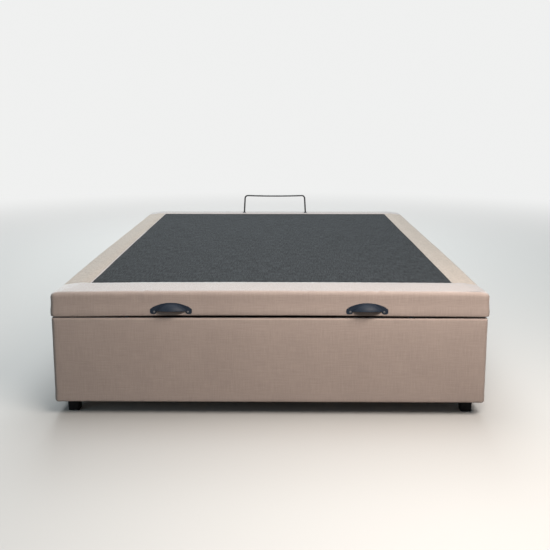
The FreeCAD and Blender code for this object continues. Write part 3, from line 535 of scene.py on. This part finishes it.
def make_box_upholstery():
    top, height = box_high.z, box_high.z - box_low.z
    piece = begin_block("box_upholstery", box_low, box_high)
    pick("EDGE", runs_along(Z))
    bevel(CORNER, CORNER_STEPS)
    for level in (box_low.z, top):
        pick("EDGE", all_near(Z, level))
        bevel(JOINT_EDGE, EDGE_STEPS)
    for level in (box_low.z, top):
        drop_faces(all_near(Z, level))
    for axis, spacing in enumerate(BOX_SPACING):
        divide(axis, spacing)
    for level in (box_low.z, top):
        pick_rim(all_near(Z, level))
        extrude_rim(inward=HEM - JOINT_EDGE)
    extrude_rim((0, 0, -TURN_EDGE), inward=TURN_SLOPE)
    extrude_rim((0, 0, TURN_EDGE - TURN_IN))
    end_edit()

    def settle(place, outward):
        sunk = Vector((0, 0, -SINK * ease((place.z - top + SINK_FROM) / SINK_RUN)))
        if place.z > top - JOINT_EDGE - SAME_LENGTH and abs(outward.z) > RIM_FACING:
            return sunk + Vector((0, 0, RIM_WAVE * unevenness(place, waves=14, seed=2)))
        level = (place.z - box_low.z) / height
        stretched = Vector((place.x, place.y, place.z * UPRIGHT_STRETCH))
        slack = BROAD_SLACK * unevenness(stretched, waves=5, seed=4)
        slack += FINE_SLACK * unevenness(place, waves=17, seed=9)
        slack *= ease(level * FADE_LOW) * ease((1 - level) * FADE_HIGH)
        from_side, from_end = corner_distances(place, box_low, box_high)
        crease = CREASE * math.sin((from_side * CREASE_SLANT + place.z) * CREASE_WAVES)
        crease *= hill(from_side, CREASE_REACH) * hill(place.z - box_low.z, CREASE_RISE)
        near_top = ease((place.z - top + DRAWN_FROM) / DRAWN_RUN)
        off_corner = ease((max(from_side, from_end) - CORNER) / DRAWN_OFF_CORNER)
        drawn_in = DRAWN_IN * near_top * off_corner
        drawn_in += corner_seam(place, box_low, box_high) * (1 - near_top)
        return sunk + outward * (slack + crease - drawn_in)

    make_cloth(piece, settle)
    dress(piece, cover_cloth, "base", "cover_fabric", "box_cover")


# Upholstery of the lid

LID_EDGE, LID_UNDER_EDGE = 12 * MM, 5 * MM
LID_SPACING = (8 * MM, 9 * MM, 8 * MM)
SEAM_LOOPS = (3 * MM, 9 * MM)
SEAM_FOLDS = ((1.0 * MM, 0.8 * MM), (1.6 * MM, 0.2 * MM))
PULL_X = 0.308

# Limits on a face's normal: how far it points up, to the head or to the right
TOP_FACING, SIDE_FACING, HEAD_FACING, RIGHT_FACING = 0.3, 0.7, 0.5, 0.5
STRIP_FACING, BORDER_FACING = 0.45, 0.7

# The foot edge's fall on each side, by the square of the distance, and the panel's shift to the right
DROOP, DROOP_REACH = {-1: 0.010, 1: 0.006}, 0.7
PANEL_SKEW, SKEW_RUN = 5 * MM, 80 * MM

# Side strips: drawn in at each side's foot end, and rolled down to their outer edges
WAIST, WAIST_REACH, WAIST_FROM, WAIST_RUN = {-1: 2 * MM, 1: 1.5 * MM}, 0.17, 14 * MM, 9 * MM
STRIP_FALL, STRIP_EDGE, STRIP_ROLL, STRIP_START = 6.5 * MM, 6 * MM, 65 * MM, 0.14
CORNER_FALL, CORNER_ROLL, CORNER_REACH, ROLL_DEPTH = 4 * MM, 35 * MM, 60 * MM, 45 * MM

# The border swells away from the panel's seam, which sinks and ripples
SWELL, SWELL_RUN, SEAM_SINK, SEAM_SINK_WIDTH = 1.4 * MM, 35 * MM, 1.2 * MM, 7 * MM
RIPPLE, RIPPLE_REACH, RIPPLE_SLANT, RIPPLE_WAVES = 0.25 * MM, 20 * MM, 40, 210
STRIP_SEAM, STRIP_SEAM_WIDTH = 1.3 * MM, 2.5 * MM

# Small creases at the foot edge, by place and depth, each with a fold beside it
PUCKERS = ((-0.401, 2.4 * MM), (0.340, 2.8 * MM), (0.118, 1.3 * MM))
PUCKER_WIDTH, PUCKER_REACH, PUCKER_LEAN = 7 * MM, 30 * MM, 0.35
FOLD_SHARE, FOLD_SHIFT, FOLD_WIDTH = 0.6, 13 * MM, 9 * MM

# Where the lower edge of the foot face rises, by place, height and width
HEM_LIFTS = ((0.0, 1.1 * MM, 0.35), (-PULL_X, 0.9 * MM, 0.045), (PULL_X, 0.4 * MM, 0.05))
HEM_LIFT_RISE, HEM_LIFT_REACH = 12 * MM, 30 * MM

# Slack of the cloth, its bulge low on the sides, and what the right side stands out
LID_BROAD_SLACK, LID_FINE_SLACK, RIGHT_SWELL = 0.7 * MM, 0.3 * MM, 2 * MM
BULGE, BULGE_FROM, BULGE_RUN = 2.3 * MM, 45 * MM, 35 * MM


def side_of(place):
    return -1 if place.x < 0 else 1


def crowned(place):
    """The lid's foot edge hangs a little lower at its corners than in the middle."""
    return -DROOP[side_of(place)] * place.x ** 2 * (1 - ease((place.y - lid_low.y) / DROOP_REACH))


def skewed(place):
    """How far the panel's seam stands to the right of true, most at the foot end."""
    return PANEL_SKEW * ease((panel_high.y - place.y) / (panel_high.y - panel_low.y))


def pulled_in(place):
    """The side strips draw the soft top edge in where they are sewn to the front strip."""
    side = side_of(place)
    past_seam = place.y - panel_low.y
    near = hill(past_seam, WAIST_REACH) if past_seam > 0 else ease(1 + past_seam / (panel_low.y - lid_low.y))
    high = ease((place.z - lid_high.z + WAIST_FROM) / WAIST_RUN)
    outer = ease((abs(place.x) - panel_high.x) / (lid_high.x - panel_high.x))
    return -side * WAIST[side] * near * high * outer


def rolled(place):
    """How far the top falls away to the outer edge of the side strips, and further at the foot corners."""
    to_side, from_foot = lid_high.x - abs(place.x), place.y - lid_low.y
    strip = ease(1 - (to_side - STRIP_EDGE) / STRIP_ROLL) * ease(from_foot / STRIP_START)
    corner = ease(1 - to_side / CORNER_ROLL) * hill(from_foot, CORNER_REACH)
    high = ease((place.z - lid_high.z + ROLL_DEPTH) / ROLL_DEPTH)
    return -(STRIP_FALL * strip + CORNER_FALL * corner) * high


def border_rise(place, from_seam):
    """How far the border stands up at a distance from the panel's seam."""
    swell = SWELL * ease(from_seam / SWELL_RUN) - SEAM_SINK * hill(from_seam, SEAM_SINK_WIDTH)
    wave = math.sin(from_seam * RIPPLE_SLANT + (place.x + place.y) * RIPPLE_WAVES)
    return swell + RIPPLE * wave * hill(from_seam, RIPPLE_REACH)


def strip_seam(place):
    """How deep the seams at the ends of the side strips are at a point."""
    if abs(place.x) <= panel_high.x:
        return 0.0
    return STRIP_SEAM * sum(hill(place.y - end.y, STRIP_SEAM_WIDTH) for end in (panel_low, panel_high))


def puckered(place):
    """How deep the foot edge's creases are at a point; their folds stand out."""
    reach = hill(math.hypot(place.y - lid_low.y, place.z - lid_high.z), PUCKER_REACH)
    dent = 0.0
    for x, depth in PUCKERS:
        off = place.x - x - (place.z - lid_high.z) * PUCKER_LEAN
        dent += depth * (hill(off, PUCKER_WIDTH) - FOLD_SHARE * hill(off - FOLD_SHIFT, FOLD_WIDTH)) * reach
    return dent


def hem_lift(place):
    """How far the lower edge of the foot face rises at a point."""
    lift = sum(height * hill(place.x - x, width) for x, height, width in HEM_LIFTS)
    return lift * hill(place.z - lid_low.z, HEM_LIFT_RISE)


def make_lid_upholstery():
    piece = begin_block("lid_upholstery", lid_low, lid_high)
    pick("EDGE", runs_along(Z))
    bevel(CORNER, CORNER_STEPS)
    pick("EDGE", all_near(Z, lid_high.z))
    bevel(LID_EDGE, EDGE_STEPS + 1)
    pick("EDGE", all_near(Z, lid_low.z))
    bevel(LID_UNDER_EDGE, EDGE_STEPS)
    for end, inset in ((lid_low, CORNER), (lid_high, -CORNER)):
        slice_at(X, end.x + inset)
        slice_at(Y, end.y + inset)
    for corner, side in zip((panel_low, panel_high), LEFT_RIGHT):
        for step in (0, *SEAM_LOOPS):
            slice_at(X, corner.x + side * step)
            slice_at(Y, corner.y + side * step)
        for step in SEAM_LOOPS:
            slice_at(Y, corner.y - side * step)
    drop_faces(all_near(Z, lid_low.z))
    drop_faces(lambda points: all_near(Z, lid_high.z)(points) and all(
        panel_low.x - MM < point.x < panel_high.x + MM and panel_low.y - MM < point.y < panel_high.y + MM
        for point in points))
    for axis, spacing in enumerate(LID_SPACING):
        divide(axis, spacing)
    pick_rim(all_near(Z, lid_low.z))
    extrude_rim(inward=HEM - LID_UNDER_EDGE)
    pick_rim(all_near(Z, lid_high.z))
    for down, inward in SEAM_FOLDS:
        extrude_rim((0, 0, -down), inward=inward)
    end_edit()

    def settle(place, outward):
        from_seam = max(panel_low.x - place.x, place.x - panel_high.x,
                        panel_low.y - place.y, place.y - panel_high.y)
        top = ease((place.z - (lid_high.z - LID_EDGE)) / LID_EDGE)
        slack = LID_BROAD_SLACK * unevenness(place, waves=6, seed=12)
        slack += LID_FINE_SLACK * unevenness(place, waves=19, seed=15)
        if abs(outward.z) < SIDE_FACING and outward.y < HEAD_FACING:
            slack += BULGE * ease((lid_low.z + BULGE_FROM - place.z) / BULGE_RUN)
        dent = strip_seam(place) + corner_seam(place, lid_low, lid_high) + puckered(place)
        move = outward * (slack - dent)
        if outward.z > TOP_FACING:
            move.z += border_rise(place, from_seam) * top
        if place.y < lid_low.y + HEM_LIFT_REACH:
            move.z += hem_lift(place)
        move.x += skewed(place) * (1 - ease(max(from_seam, 0) / SKEW_RUN)) * top + pulled_in(place)
        if outward.x > RIGHT_FACING:
            move.x += RIGHT_SWELL * outward.x
        move.z += crowned(place) + rolled(place)
        return move

    make_cloth(piece, settle)
    dress(piece, cover_cloth, "lid", "cover_fabric", "lid_cover")
    piece.data.materials.append(side_cloth_painted_shade)
    piece.data.materials.append(border_cloth)
    # The side strips' top faces get the darker cloth of painted nap shade; the other top faces get the
    # cover's colours with a stronger sheen
    for face in piece.data.polygons:
        on_strip = abs(face.center.x) > panel_high.x and panel_low.y < face.center.y < panel_high.y
        if face.normal.z > (STRIP_FACING if on_strip else BORDER_FACING):
            face.material_index = 1 if on_strip else 2


# Foam and panel

PAD_INSET, PAD_SINK, PAD_CORNER, PAD_EDGE = 1.6 * MM, 1.2 * MM, 10 * MM, 8 * MM
PAD_SPACING, PAD_WAVE = 20 * MM, 0.2 * MM
PANEL_GRID, PANEL_SINK, PANEL_CLOTH = (92, 128), 0.4 * MM, 1.0 * MM
PANEL_WAVE, PANEL_DROP, PANEL_DROP_RUN = 0.5 * MM, 1.7 * MM, 18 * MM
PANEL_RIPPLE, PANEL_RIPPLE_REACH, PANEL_RIPPLE_WAVES = 0.2 * MM, 30 * MM, 190


def make_lid_pad():
    """The foam under the cloth."""
    low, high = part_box("lid_foam")
    top = high.z - PAD_SINK
    piece = begin_block("lid_pad", low + Vector((PAD_INSET, PAD_INSET, 0)),
                        high - Vector((PAD_INSET, PAD_INSET, PAD_SINK)))
    pick("EDGE", runs_along(Z))
    bevel(PAD_CORNER, CORNER_STEPS)
    pick("EDGE", all_near(Z, top))
    bevel(PAD_EDGE, EDGE_STEPS)
    for axis in (X, Y):
        divide(axis, PAD_SPACING)
    end_edit()

    def settle(place, outward):
        move = outward * PAD_WAVE * unevenness(place, waves=20, seed=21)
        move.x += pulled_in(place)
        move.z += (crowned(place) + rolled(place)) * ease((place.z - low.z) / PAD_EDGE)
        return move

    push_points(piece, settle)
    smooth_shade(piece)
    dress(piece, foam_finish, "lid", "foam", "lid_foam")


def make_panel():
    """The anti-slip cloth let into the lid's border."""
    size = panel_high - panel_low
    centre = Vector((0, (panel_low.y + panel_high.y) / 2, panel_high.z - PANEL_SINK))
    piece = begin("grip_panel", bpy.ops.mesh.primitive_grid_add, size=1, x_subdivisions=PANEL_GRID[0],
                  y_subdivisions=PANEL_GRID[1], location=centre)
    bpy.ops.transform.resize(value=(size.x, size.y, 1), center_override=centre)
    end_edit()

    def settle(place, outward):
        from_edge = min(corner_distances(place, panel_low, panel_high))
        drop = PANEL_DROP * (1 - ease(from_edge / PANEL_DROP_RUN))
        wave = math.sin((place.x + place.y) * PANEL_RIPPLE_WAVES)
        ripple = PANEL_RIPPLE * wave * hill(from_edge, PANEL_RIPPLE_REACH)
        rise = crowned(place) + PANEL_WAVE * unevenness(place, waves=4, seed=31) + ripple - drop
        return Vector((skewed(place), 0, rise))

    make_cloth(piece, settle, thickness=PANEL_CLOTH, even=False, degrees=60)
    dress(piece, panel_cloth, "lid", "panel_fabric", "anti_slip_panel")


make_box_upholstery()
make_lid_upholstery()
make_lid_pad()
make_panel()


# Cup pulls

CUP_HALF, CUP_RISE, CUP_DEPTH, CUP_WALL = 49 * MM, 26 * MM, 25 * MM, 2.2 * MM
PLATE_END, PLATE_ARCH, PLATE_THICK = 66 * MM, 28.5 * MM, 3 * MM
EAR_DROP, EAR_SHOULDER, EAR_CORNER, EAR_START = 7.5 * MM, 10 * MM, 6 * MM, 45.5 * MM
SCREW_SPREAD = 53 * MM
RIM_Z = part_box("handle_left")[0].z + EAR_DROP
FACING_FOOT = (QUARTER_TURN, 0, 0)

# The cup's mouth rises by this share of its depth, so the lip is highest in the middle
LIP_SLOPE = 0.22

# How far the plate reaches in behind the cup's wall and the ears up behind the plate
PLATE_BEHIND_SIDE, PLATE_BEHIND_TOP, EAR_BEHIND = 1 * MM, 1.2 * MM, 1.5 * MM
ARC_POINTS, ARC_MARGIN, SPIN_STEPS, EAR_STEPS = 192, 0.2 * MM, 40, 8


def cut_by(piece, tool):
    """Cut a piece by a tool, which then goes."""
    apply_modifier(piece, "BOOLEAN", operation="DIFFERENCE", object=tool, solver="EXACT")
    bpy.data.objects.remove(tool)


def copy_piece(piece, name, move):
    twin = piece.copy()
    twin.data = piece.data.copy()
    twin.name = twin.data.name = name
    bpy.context.scene.collection.objects.link(twin)
    twin.data.transform(Matrix.Translation(move))
    return twin


def join(first, *others):
    choose(first, *others)
    bpy.ops.object.join()


def draw_arc(name, centre, radius, drop, rotation, up):
    """The part of a circle above a chord through centre; up is the axis and direction the arc bulges in."""
    axis, way = up
    middle = centre.copy()
    middle[axis] -= way * drop
    half = math.sqrt(radius * radius - drop * drop)
    piece = begin(name, bpy.ops.mesh.primitive_circle_add, vertices=ARC_POINTS, radius=radius,
                  location=middle, rotation=rotation)
    pick("VERT", lambda points: way * (points[0][axis] - centre[axis]) < ARC_MARGIN)
    bpy.ops.mesh.delete(type="VERT")
    for side in LEFT_RIGHT:
        shape = bmesh.from_edit_mesh(piece.data)
        tip = max((point.co for point in shape.verts), key=lambda place: side * place.x).copy()
        pick("VERT", lambda points: (points[0] - tip).length < SAME_POINT)
        to_chord = centre + Vector((side * half, 0, 0)) - tip
        bpy.ops.mesh.extrude_vertices_move(TRANSFORM_OT_translate={"value": to_chord})
    bpy.ops.mesh.select_mode(type="EDGE")
    pick_all()
    return piece


def make_cup(x, face):
    """The cup's shell: a bowed rim spun up and back to the lid's face, cut at its mouth and thickened."""
    behind = (CUP_RISE ** 2 - CUP_DEPTH ** 2) / (2 * CUP_DEPTH)
    bow = (CUP_HALF ** 2 + CUP_DEPTH ** 2) / (2 * CUP_DEPTH)
    axis = Vector((x, face + behind, RIM_Z))
    cup = draw_arc("pull_cup", axis, bow, bow - CUP_DEPTH - behind, (0, 0, 0), (Y, -1))
    bpy.ops.mesh.spin(steps=SPIN_STEPS, angle=QUARTER_TURN, center=axis, axis=(1, 0, 0))
    merge_points()
    cut_off((x, face, RIM_Z), (0, 1, 0))
    cut_off((x, face, RIM_Z), (0, -LIP_SLOPE, -1))
    turn_faces_out()
    end_edit()
    apply_modifier(cup, "SOLIDIFY", thickness=CUP_WALL, offset=0.0)
    return cup


def make_plate(x, face):
    """The plate round the cup's mouth: a strip from just inside the mouth out to a flatter arc."""
    half, rise = CUP_HALF - PLATE_BEHIND_SIDE, CUP_RISE - PLATE_BEHIND_TOP
    mouth = (half ** 2 + rise ** 2) / (2 * rise)
    plate = draw_arc("pull_plate", Vector((x, face, RIM_Z)), mouth, mouth - rise, FACING_FOOT, (Z, 1))
    bpy.ops.mesh.extrude_edges_move()
    fall = PLATE_ARCH - EAR_SHOULDER
    arc = (PLATE_END ** 2 + fall ** 2) / (2 * fall)
    shape = bmesh.from_edit_mesh(plate.data)
    for point in shape.verts:
        if point.select:
            across = (point.co.x - x) / half * (PLATE_END - EAR_CORNER)
            point.co.x = x + across
            point.co.z = RIM_Z + PLATE_ARCH - arc + math.sqrt(arc ** 2 - across ** 2)
    bmesh.update_edit_mesh(plate.data)
    pick_all()
    bpy.ops.mesh.extrude_region_move(TRANSFORM_OT_translate={"value": (0, -PLATE_THICK, 0)})
    turn_faces_out()
    end_edit()
    return plate


def make_ear(x, face, side):
    """A lug with round corners under a screw."""
    tip, follows_y = x + side * PLATE_END, runs_along(Y)
    ends = sorted((x + side * EAR_START, tip))
    ear = begin_block("pull_ear", (ends[0], face - PLATE_THICK, RIM_Z - EAR_DROP),
                      (ends[1], face, RIM_Z + EAR_SHOULDER + EAR_BEHIND))
    pick("EDGE", lambda points: follows_y(points) and (
        abs(points[0].x - tip) < SAME_LENGTH or points[0].z < RIM_Z))
    bevel(EAR_CORNER, EAR_STEPS)
    end_edit()
    return ear


def make_cup_pulls():
    """Both pulls, from one: its pieces grow together and its edges are softened."""
    x, face = -PULL_X, lid_low.y
    pull = make_cup(x, face)
    join(pull, make_plate(x, face), *[make_ear(x, face, side) for side in LEFT_RIGHT])
    pull.name = pull.data.name = "cup_pull_left"
    apply_modifier(pull, "REMESH", mode="VOXEL", voxel_size=0.5 * MM)
    apply_modifier(pull, "SMOOTH", factor=0.5, iterations=8)
    apply_modifier(pull, "DECIMATE", ratio=0.3)
    smooth_shade(pull, degrees=70)
    twin = copy_piece(pull, "cup_pull_right", (2 * PULL_X, 0, 0))
    dress(pull, black_plastic, "lid", "black_plastic", "handle_left")
    dress(twin, black_plastic, "lid", "black_plastic", "handle_right")


# Screws of the pulls

HEAD_RADIUS, HEAD_HEIGHT, HEAD_ROUND = 3.5 * MM, 2 * MM, 1.3 * MM
SHANK_RADIUS, SHANK_LENGTH, SHANK_POINT = 1.75 * MM, 20 * MM, 0.2
SLOT_LENGTH, SLOT_WIDTH, SLOT_DEPTHS = 4 * MM, 0.8 * MM, (1.0 * MM, 1.1 * MM)


def make_pull_screws():
    """Pan heads with a cross slot, each on its shank."""
    x, seat = -PULL_X - SCREW_SPREAD, lid_low.y - PLATE_THICK
    front, end = seat - HEAD_HEIGHT, seat + SHANK_LENGTH
    head = begin("pull_screws", bpy.ops.mesh.primitive_cylinder_add, vertices=40, radius=HEAD_RADIUS,
                 depth=HEAD_HEIGHT, rotation=FACING_FOOT, location=(x, (seat + front) / 2, RIM_Z))
    pick("EDGE", all_near(Y, front))
    bevel(HEAD_ROUND, steps=4)
    end_edit()
    arms = ((SLOT_LENGTH, SLOT_WIDTH), (SLOT_WIDTH, SLOT_LENGTH))
    for (wide, high), deep in zip(arms, SLOT_DEPTHS):
        slot = begin_block("slot", (x - wide / 2, front - MM, RIM_Z - high / 2),
                           (x + wide / 2, front + deep, RIM_Z + high / 2))
        end_edit()
        cut_by(head, slot)
    shank = begin("pull_shank", bpy.ops.mesh.primitive_cylinder_add, vertices=24, radius=SHANK_RADIUS,
                  depth=SHANK_LENGTH, rotation=FACING_FOOT, location=(x, (seat + end) / 2, RIM_Z))
    pick("FACE", all_near(Y, end))
    bpy.ops.transform.resize(value=(SHANK_POINT, 1, SHANK_POINT), center_override=(x, end, RIM_Z))
    end_edit()
    join(head, shank)
    others = [copy_piece(head, f"pull_screw_{number}", (move, 0, 0)) for number, move in
              enumerate((2 * SCREW_SPREAD, 2 * PULL_X, 2 * PULL_X + 2 * SCREW_SPREAD), start=2)]
    join(head, *others)
    smooth_shade(head, degrees=35)
    dress(head, dulled_steel, "lid", "bright_steel", "handle_screws")


make_cup_pulls()
make_pull_screws()


# Mattress retainer

ROD, FOOT_X, TOP_X, BAR_SAG = 4 * MM, 167.5 * MM, 162.5 * MM, 5 * MM
GROMMET_HEIGHT, RING_RADIUS, RING_THICK, RING_UNDER = 4 * MM, 6.5 * MM, 2.4 * MM, 0.3

# Radius and steps of the bends over the grommets, at the top corners and in the middle of the bar
KNEE, BEND = (60 * MM, 4), (16 * MM, 14)
SWEEP = ((TOP_X - 2 * BEND[0]) * TOP_X / BAR_SAG, 16)


def make_retainer():
    """A wire drawn from one threaded end to the other: straight runs with a bend spun at each corner."""
    low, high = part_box("mattress_retainer")
    y, top = (low.y + high.y) / 2, high.z - ROD
    half = [(-FOOT_X, low.z), (-FOOT_X, lid_high.z + GROMMET_HEIGHT), (-TOP_X, top)]
    route = [Vector((x, y, z)) for x, z in half + [(0, top - BAR_SAG)] + [(-x, z) for x, z in half[::-1]]]
    bends = (KNEE, BEND, SWEEP, BEND, KNEE)
    piece = begin("retainer_hoop", bpy.ops.mesh.primitive_circle_add, vertices=24, radius=ROD,
                  location=route[0])
    bpy.ops.mesh.select_mode(type="EDGE")
    pick_all()
    here = route[0]
    for before, corner, after, (radius, steps) in zip(route, route[1:], route[2:], bends):
        back, ahead = (before - corner).normalized(), (after - corner).normalized()
        half_angle = back.angle(ahead) / 2
        enter = corner + back * (radius / math.tan(half_angle))
        centre = corner + (back + ahead).normalized() * (radius / math.sin(half_angle))
        extrude_rim(enter - here)
        bpy.ops.mesh.spin(steps=steps, angle=math.pi - 2 * half_angle, center=centre,
                          axis=back.cross(ahead).normalized())
        here = corner + ahead * (radius / math.tan(half_angle))
    extrude_rim(route[-1] - here)
    for side in LEFT_RIGHT:
        pick_rim(lambda points: side * points[0].x > 0)
        bpy.ops.mesh.edge_face_add()
    merge_points()
    turn_faces_out()
    end_edit()
    smooth_shade(piece, degrees=50)
    dress(piece, black_paint, "lid", "black_steel", "mattress_retainer")


def make_grommets():
    """Rubber rings, flat underneath, where the wire goes through the cover."""
    low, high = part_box("retainer_grommets")
    centre = Vector((-FOOT_X, (low.y + high.y) / 2, low.z))
    ring = begin("retainer_rings", bpy.ops.mesh.primitive_torus_add, major_segments=48, minor_segments=20,
                 major_radius=RING_RADIUS, minor_radius=RING_THICK, location=centre)
    for way, stretch in ((-1, RING_UNDER), (1, (high.z - low.z) / RING_THICK)):
        pick("VERT", lambda points: way * (points[0].z - low.z) > SAME_POINT)
        bpy.ops.transform.resize(value=(1, 1, stretch), center_override=centre)
    end_edit()
    join(ring, copy_piece(ring, "retainer_ring_right", (2 * FOOT_X, 0, 0)))
    smooth_shade(ring, degrees=60)
    dress(ring, black_plastic, "lid", "black_plastic", "retainer_grommets")


make_retainer()
make_grommets()


# Legs

LEG_TAPER, LEG_EDGE, LEG_RIM, LEG_SOCKET, LEG_SOCKET_DEPTH = 0.9, 6 * MM, 1.2 * MM, 8 * MM, 24 * MM


def make_legs():
    """Tapered feet with a bolt's socket underneath; one is modelled and then copied to each place."""
    names = [name for name in nodes if name.startswith("leg_") and name not in ("leg_bolts", "leg_tee_nuts")]
    low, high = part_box(names[0])
    middle = (low + high) / 2
    foot = Vector((middle.x, middle.y, low.z))
    first = begin_block("leg", low, high)
    pick("FACE", all_near(Z, low.z))
    bpy.ops.transform.resize(value=(LEG_TAPER, LEG_TAPER, 1), center_override=foot)
    pick("EDGE", lambda points: abs(points[0].z - points[1].z) > middle.z - low.z)
    bevel(LEG_EDGE, steps=6)
    for level in (low.z, high.z):
        pick("EDGE", all_near(Z, level))
        bevel(LEG_RIM, steps=3)
    end_edit()
    socket = begin("leg_socket", bpy.ops.mesh.primitive_cylinder_add, vertices=48, radius=LEG_SOCKET,
                   depth=2 * LEG_SOCKET_DEPTH, location=foot)
    end_edit()
    cut_by(first, socket)
    smooth_shade(first, degrees=35)
    for name in names:
        piece = copy_piece(first, f"black_{name}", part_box(name)[0] - low)
        dress(piece, leg_plastic, "base", "black_plastic", name)
    bpy.data.objects.remove(first)


make_legs()


# Solids that stay get their finishes, by the start of their names

FINISHES = {
    pine_x: ("box_foot_board", "box_head_board", "floor_batten_", "lid_rail_foot", "lid_rail_head",
             "lid_slat_", "retainer_batten"),
    pine_y: ("box_side_board_", "lid_rail_left", "lid_rail_right"),
    pine_z: ("corner_post_",),
    hardboard: ("floor_panel_", "lid_deck"),
    zinc: ("leg_bolts", "leg_tee_nuts", "retainer_nuts", "hinge_", "box_hardware_screws",
           "lid_hardware_screws", "strut_box_bracket_", "strut_lid_bracket_"),
    black_paint: ("strut_cylinder_",),
    black_plastic: ("strut_gland_", "box_bumpers"),
    polished: ("strut_rod_",),
}

for finish, starts in FINISHES.items():
    for name, solid in nodes.items():
        if name.startswith(starts):
            for number in range(len(solid.data.materials)):
                solid.data.materials[number] = finish


# Floor, light and camera

PALE = (0.87, 0.875, 0.87, 1)
SKY, SKY_STRENGTH = (0.78, 0.92, 1.0, 1), 0.17

# The floor is dark for the light that it throws back at the object and paler to the eye, and fades out
FLOOR_LIT, FLOOR_SEEN = (0.07, 0.05, 0.035), (0.52, 0.505, 0.485)
FLOOR_RADIUS, FADE_START, FADE_END = 30, 1.6, 6.0

# The camera that was fitted to the photograph: its lens and the picture's shift in pixels, its place from
# the middle of the lid's upper foot edge in metres, and its turns in degrees
FRAME_PIXELS, LENS_PIXELS, SHIFT_PIXELS, SENSOR = 550, 757.5, -38.9, 36.0
CAMERA_X, CAMERA_BACK, CAMERA_ABOVE = 0.042, 2.307, 0.5635
PITCH, YAW, ROLL = (math.radians(turn) for turn in (9.526, 0.573, -0.026))


def seen_directly(tree):
    """1 for rays from the camera and in mirrors or glass, 0 for the rays that light the object."""
    path = add_node(tree, "ShaderNodeLightPath").outputs
    seen = calc(tree, "MAXIMUM", path["Is Camera Ray"], path["Is Glossy Ray"])
    return calc(tree, "MAXIMUM", seen, path["Is Transmission Ray"])


def show_both(tree, output, share, first, second):
    both = add_node(tree, "ShaderNodeMixShader", values=[share, first.outputs[0], second.outputs[0]])
    tree.links.new(both.outputs[0], tree.nodes[output].inputs["Surface"])


def make_stage():
    """A pale floor that fades into the pale background away from the object."""
    floor = begin("floor", bpy.ops.mesh.primitive_circle_add, vertices=96, radius=FLOOR_RADIUS,
                  fill_type="NGON")
    end_edit()
    material, tree, shader = new_material("pale_floor")
    set_inputs(tree, shader, Roughness=0.8,
               Base_Color=mix_colours(tree, seen_directly(tree), FLOOR_LIT, FLOOR_SEEN))
    place = add_node(tree, "ShaderNodeTexCoord").outputs["Object"]
    away = add_node(tree, "ShaderNodeVectorMath", {"operation": "LENGTH"}, [place]).outputs["Value"]
    fade = range_node(tree, away, 0.0, 1.0, start=FADE_START, end=FADE_END, interpolation_type="SMOOTHSTEP")
    share = calc(tree, "MULTIPLY", fade, seen_directly(tree))
    glow = add_node(tree, "ShaderNodeEmission", Color=PALE, Strength=1.0)
    show_both(tree, "Material Output", share, shader, glow)
    floor.data.materials.append(material)


def make_sky():
    """A weak cool light from all round, behind which the eye sees the pale background."""
    world = bpy.data.worlds.new("studio")
    bpy.context.scene.world = world
    world.use_nodes = True
    tree = world.node_tree
    light = tree.nodes["Background"]
    set_inputs(tree, light, Color=SKY, Strength=SKY_STRENGTH)
    shown = add_node(tree, "ShaderNodeBackground", Color=PALE, Strength=1.0)
    show_both(tree, "World Output", seen_directly(tree), light, shown)


def add_lamp(name, place, target, wide, high, power, colour):
    lamp = bpy.data.lights.new(name, "AREA")
    lamp.shape, lamp.size, lamp.size_y, lamp.energy, lamp.color = "ELLIPSE", wide, high, power, colour
    holder = bpy.data.objects.new(name, lamp)
    bpy.context.scene.collection.objects.link(holder)
    holder.location = place
    holder.rotation_euler = (Vector(target) - Vector(place)).to_track_quat("-Z", "Y").to_euler()
    holder.visible_camera = False


def make_camera():
    data = bpy.data.cameras.new("camera")
    data.sensor_fit, data.sensor_width = "HORIZONTAL", SENSOR
    data.lens = LENS_PIXELS / FRAME_PIXELS * SENSOR
    data.shift_y = SHIFT_PIXELS / FRAME_PIXELS
    camera = bpy.data.objects.new("camera", data)
    bpy.context.scene.collection.objects.link(camera)
    camera.location = (CAMERA_X, lid_low.y - CAMERA_BACK, lid_high.z + CAMERA_ABOVE)
    ahead = Vector((-math.sin(YAW) * math.cos(PITCH), math.cos(YAW) * math.cos(PITCH), -math.sin(PITCH)))
    turned = ahead.to_track_quat("-Z", "Y").to_matrix() @ Matrix.Rotation(ROLL, 3, "Z")
    camera.rotation_euler = turned.to_euler()
    bpy.context.scene.camera = camera


make_stage()
make_sky()
add_lamp("window", place=(-0.3, 3.4, 3.4), target=(0, 0.2, 0.4), wide=3.4, high=3.0, power=172,
         colour=(0.90, 0.97, 1.0))
add_lamp("overhead", place=(0.0, 0.6, 4.2), target=(0, 0.3, 0.3), wide=3.6, high=3.6, power=115,
         colour=(0.93, 0.97, 1.0))
add_lamp("front", place=(0.75, lid_low.y - 0.95, 1.5), target=(0.1, lid_low.y, 0.25), wide=1.7, high=0.5,
         power=39.5, colour=(1.0, 0.915, 0.845))
add_lamp("fill", place=(-2.4, lid_low.y - 1.6, 0.9), target=(-0.5, lid_low.y, 0.25), wide=1.2, high=1.2,
         power=7, colour=(0.55, 0.85, 1.0))
make_camera()
bpy.context.scene.view_settings.view_transform = "Standard"
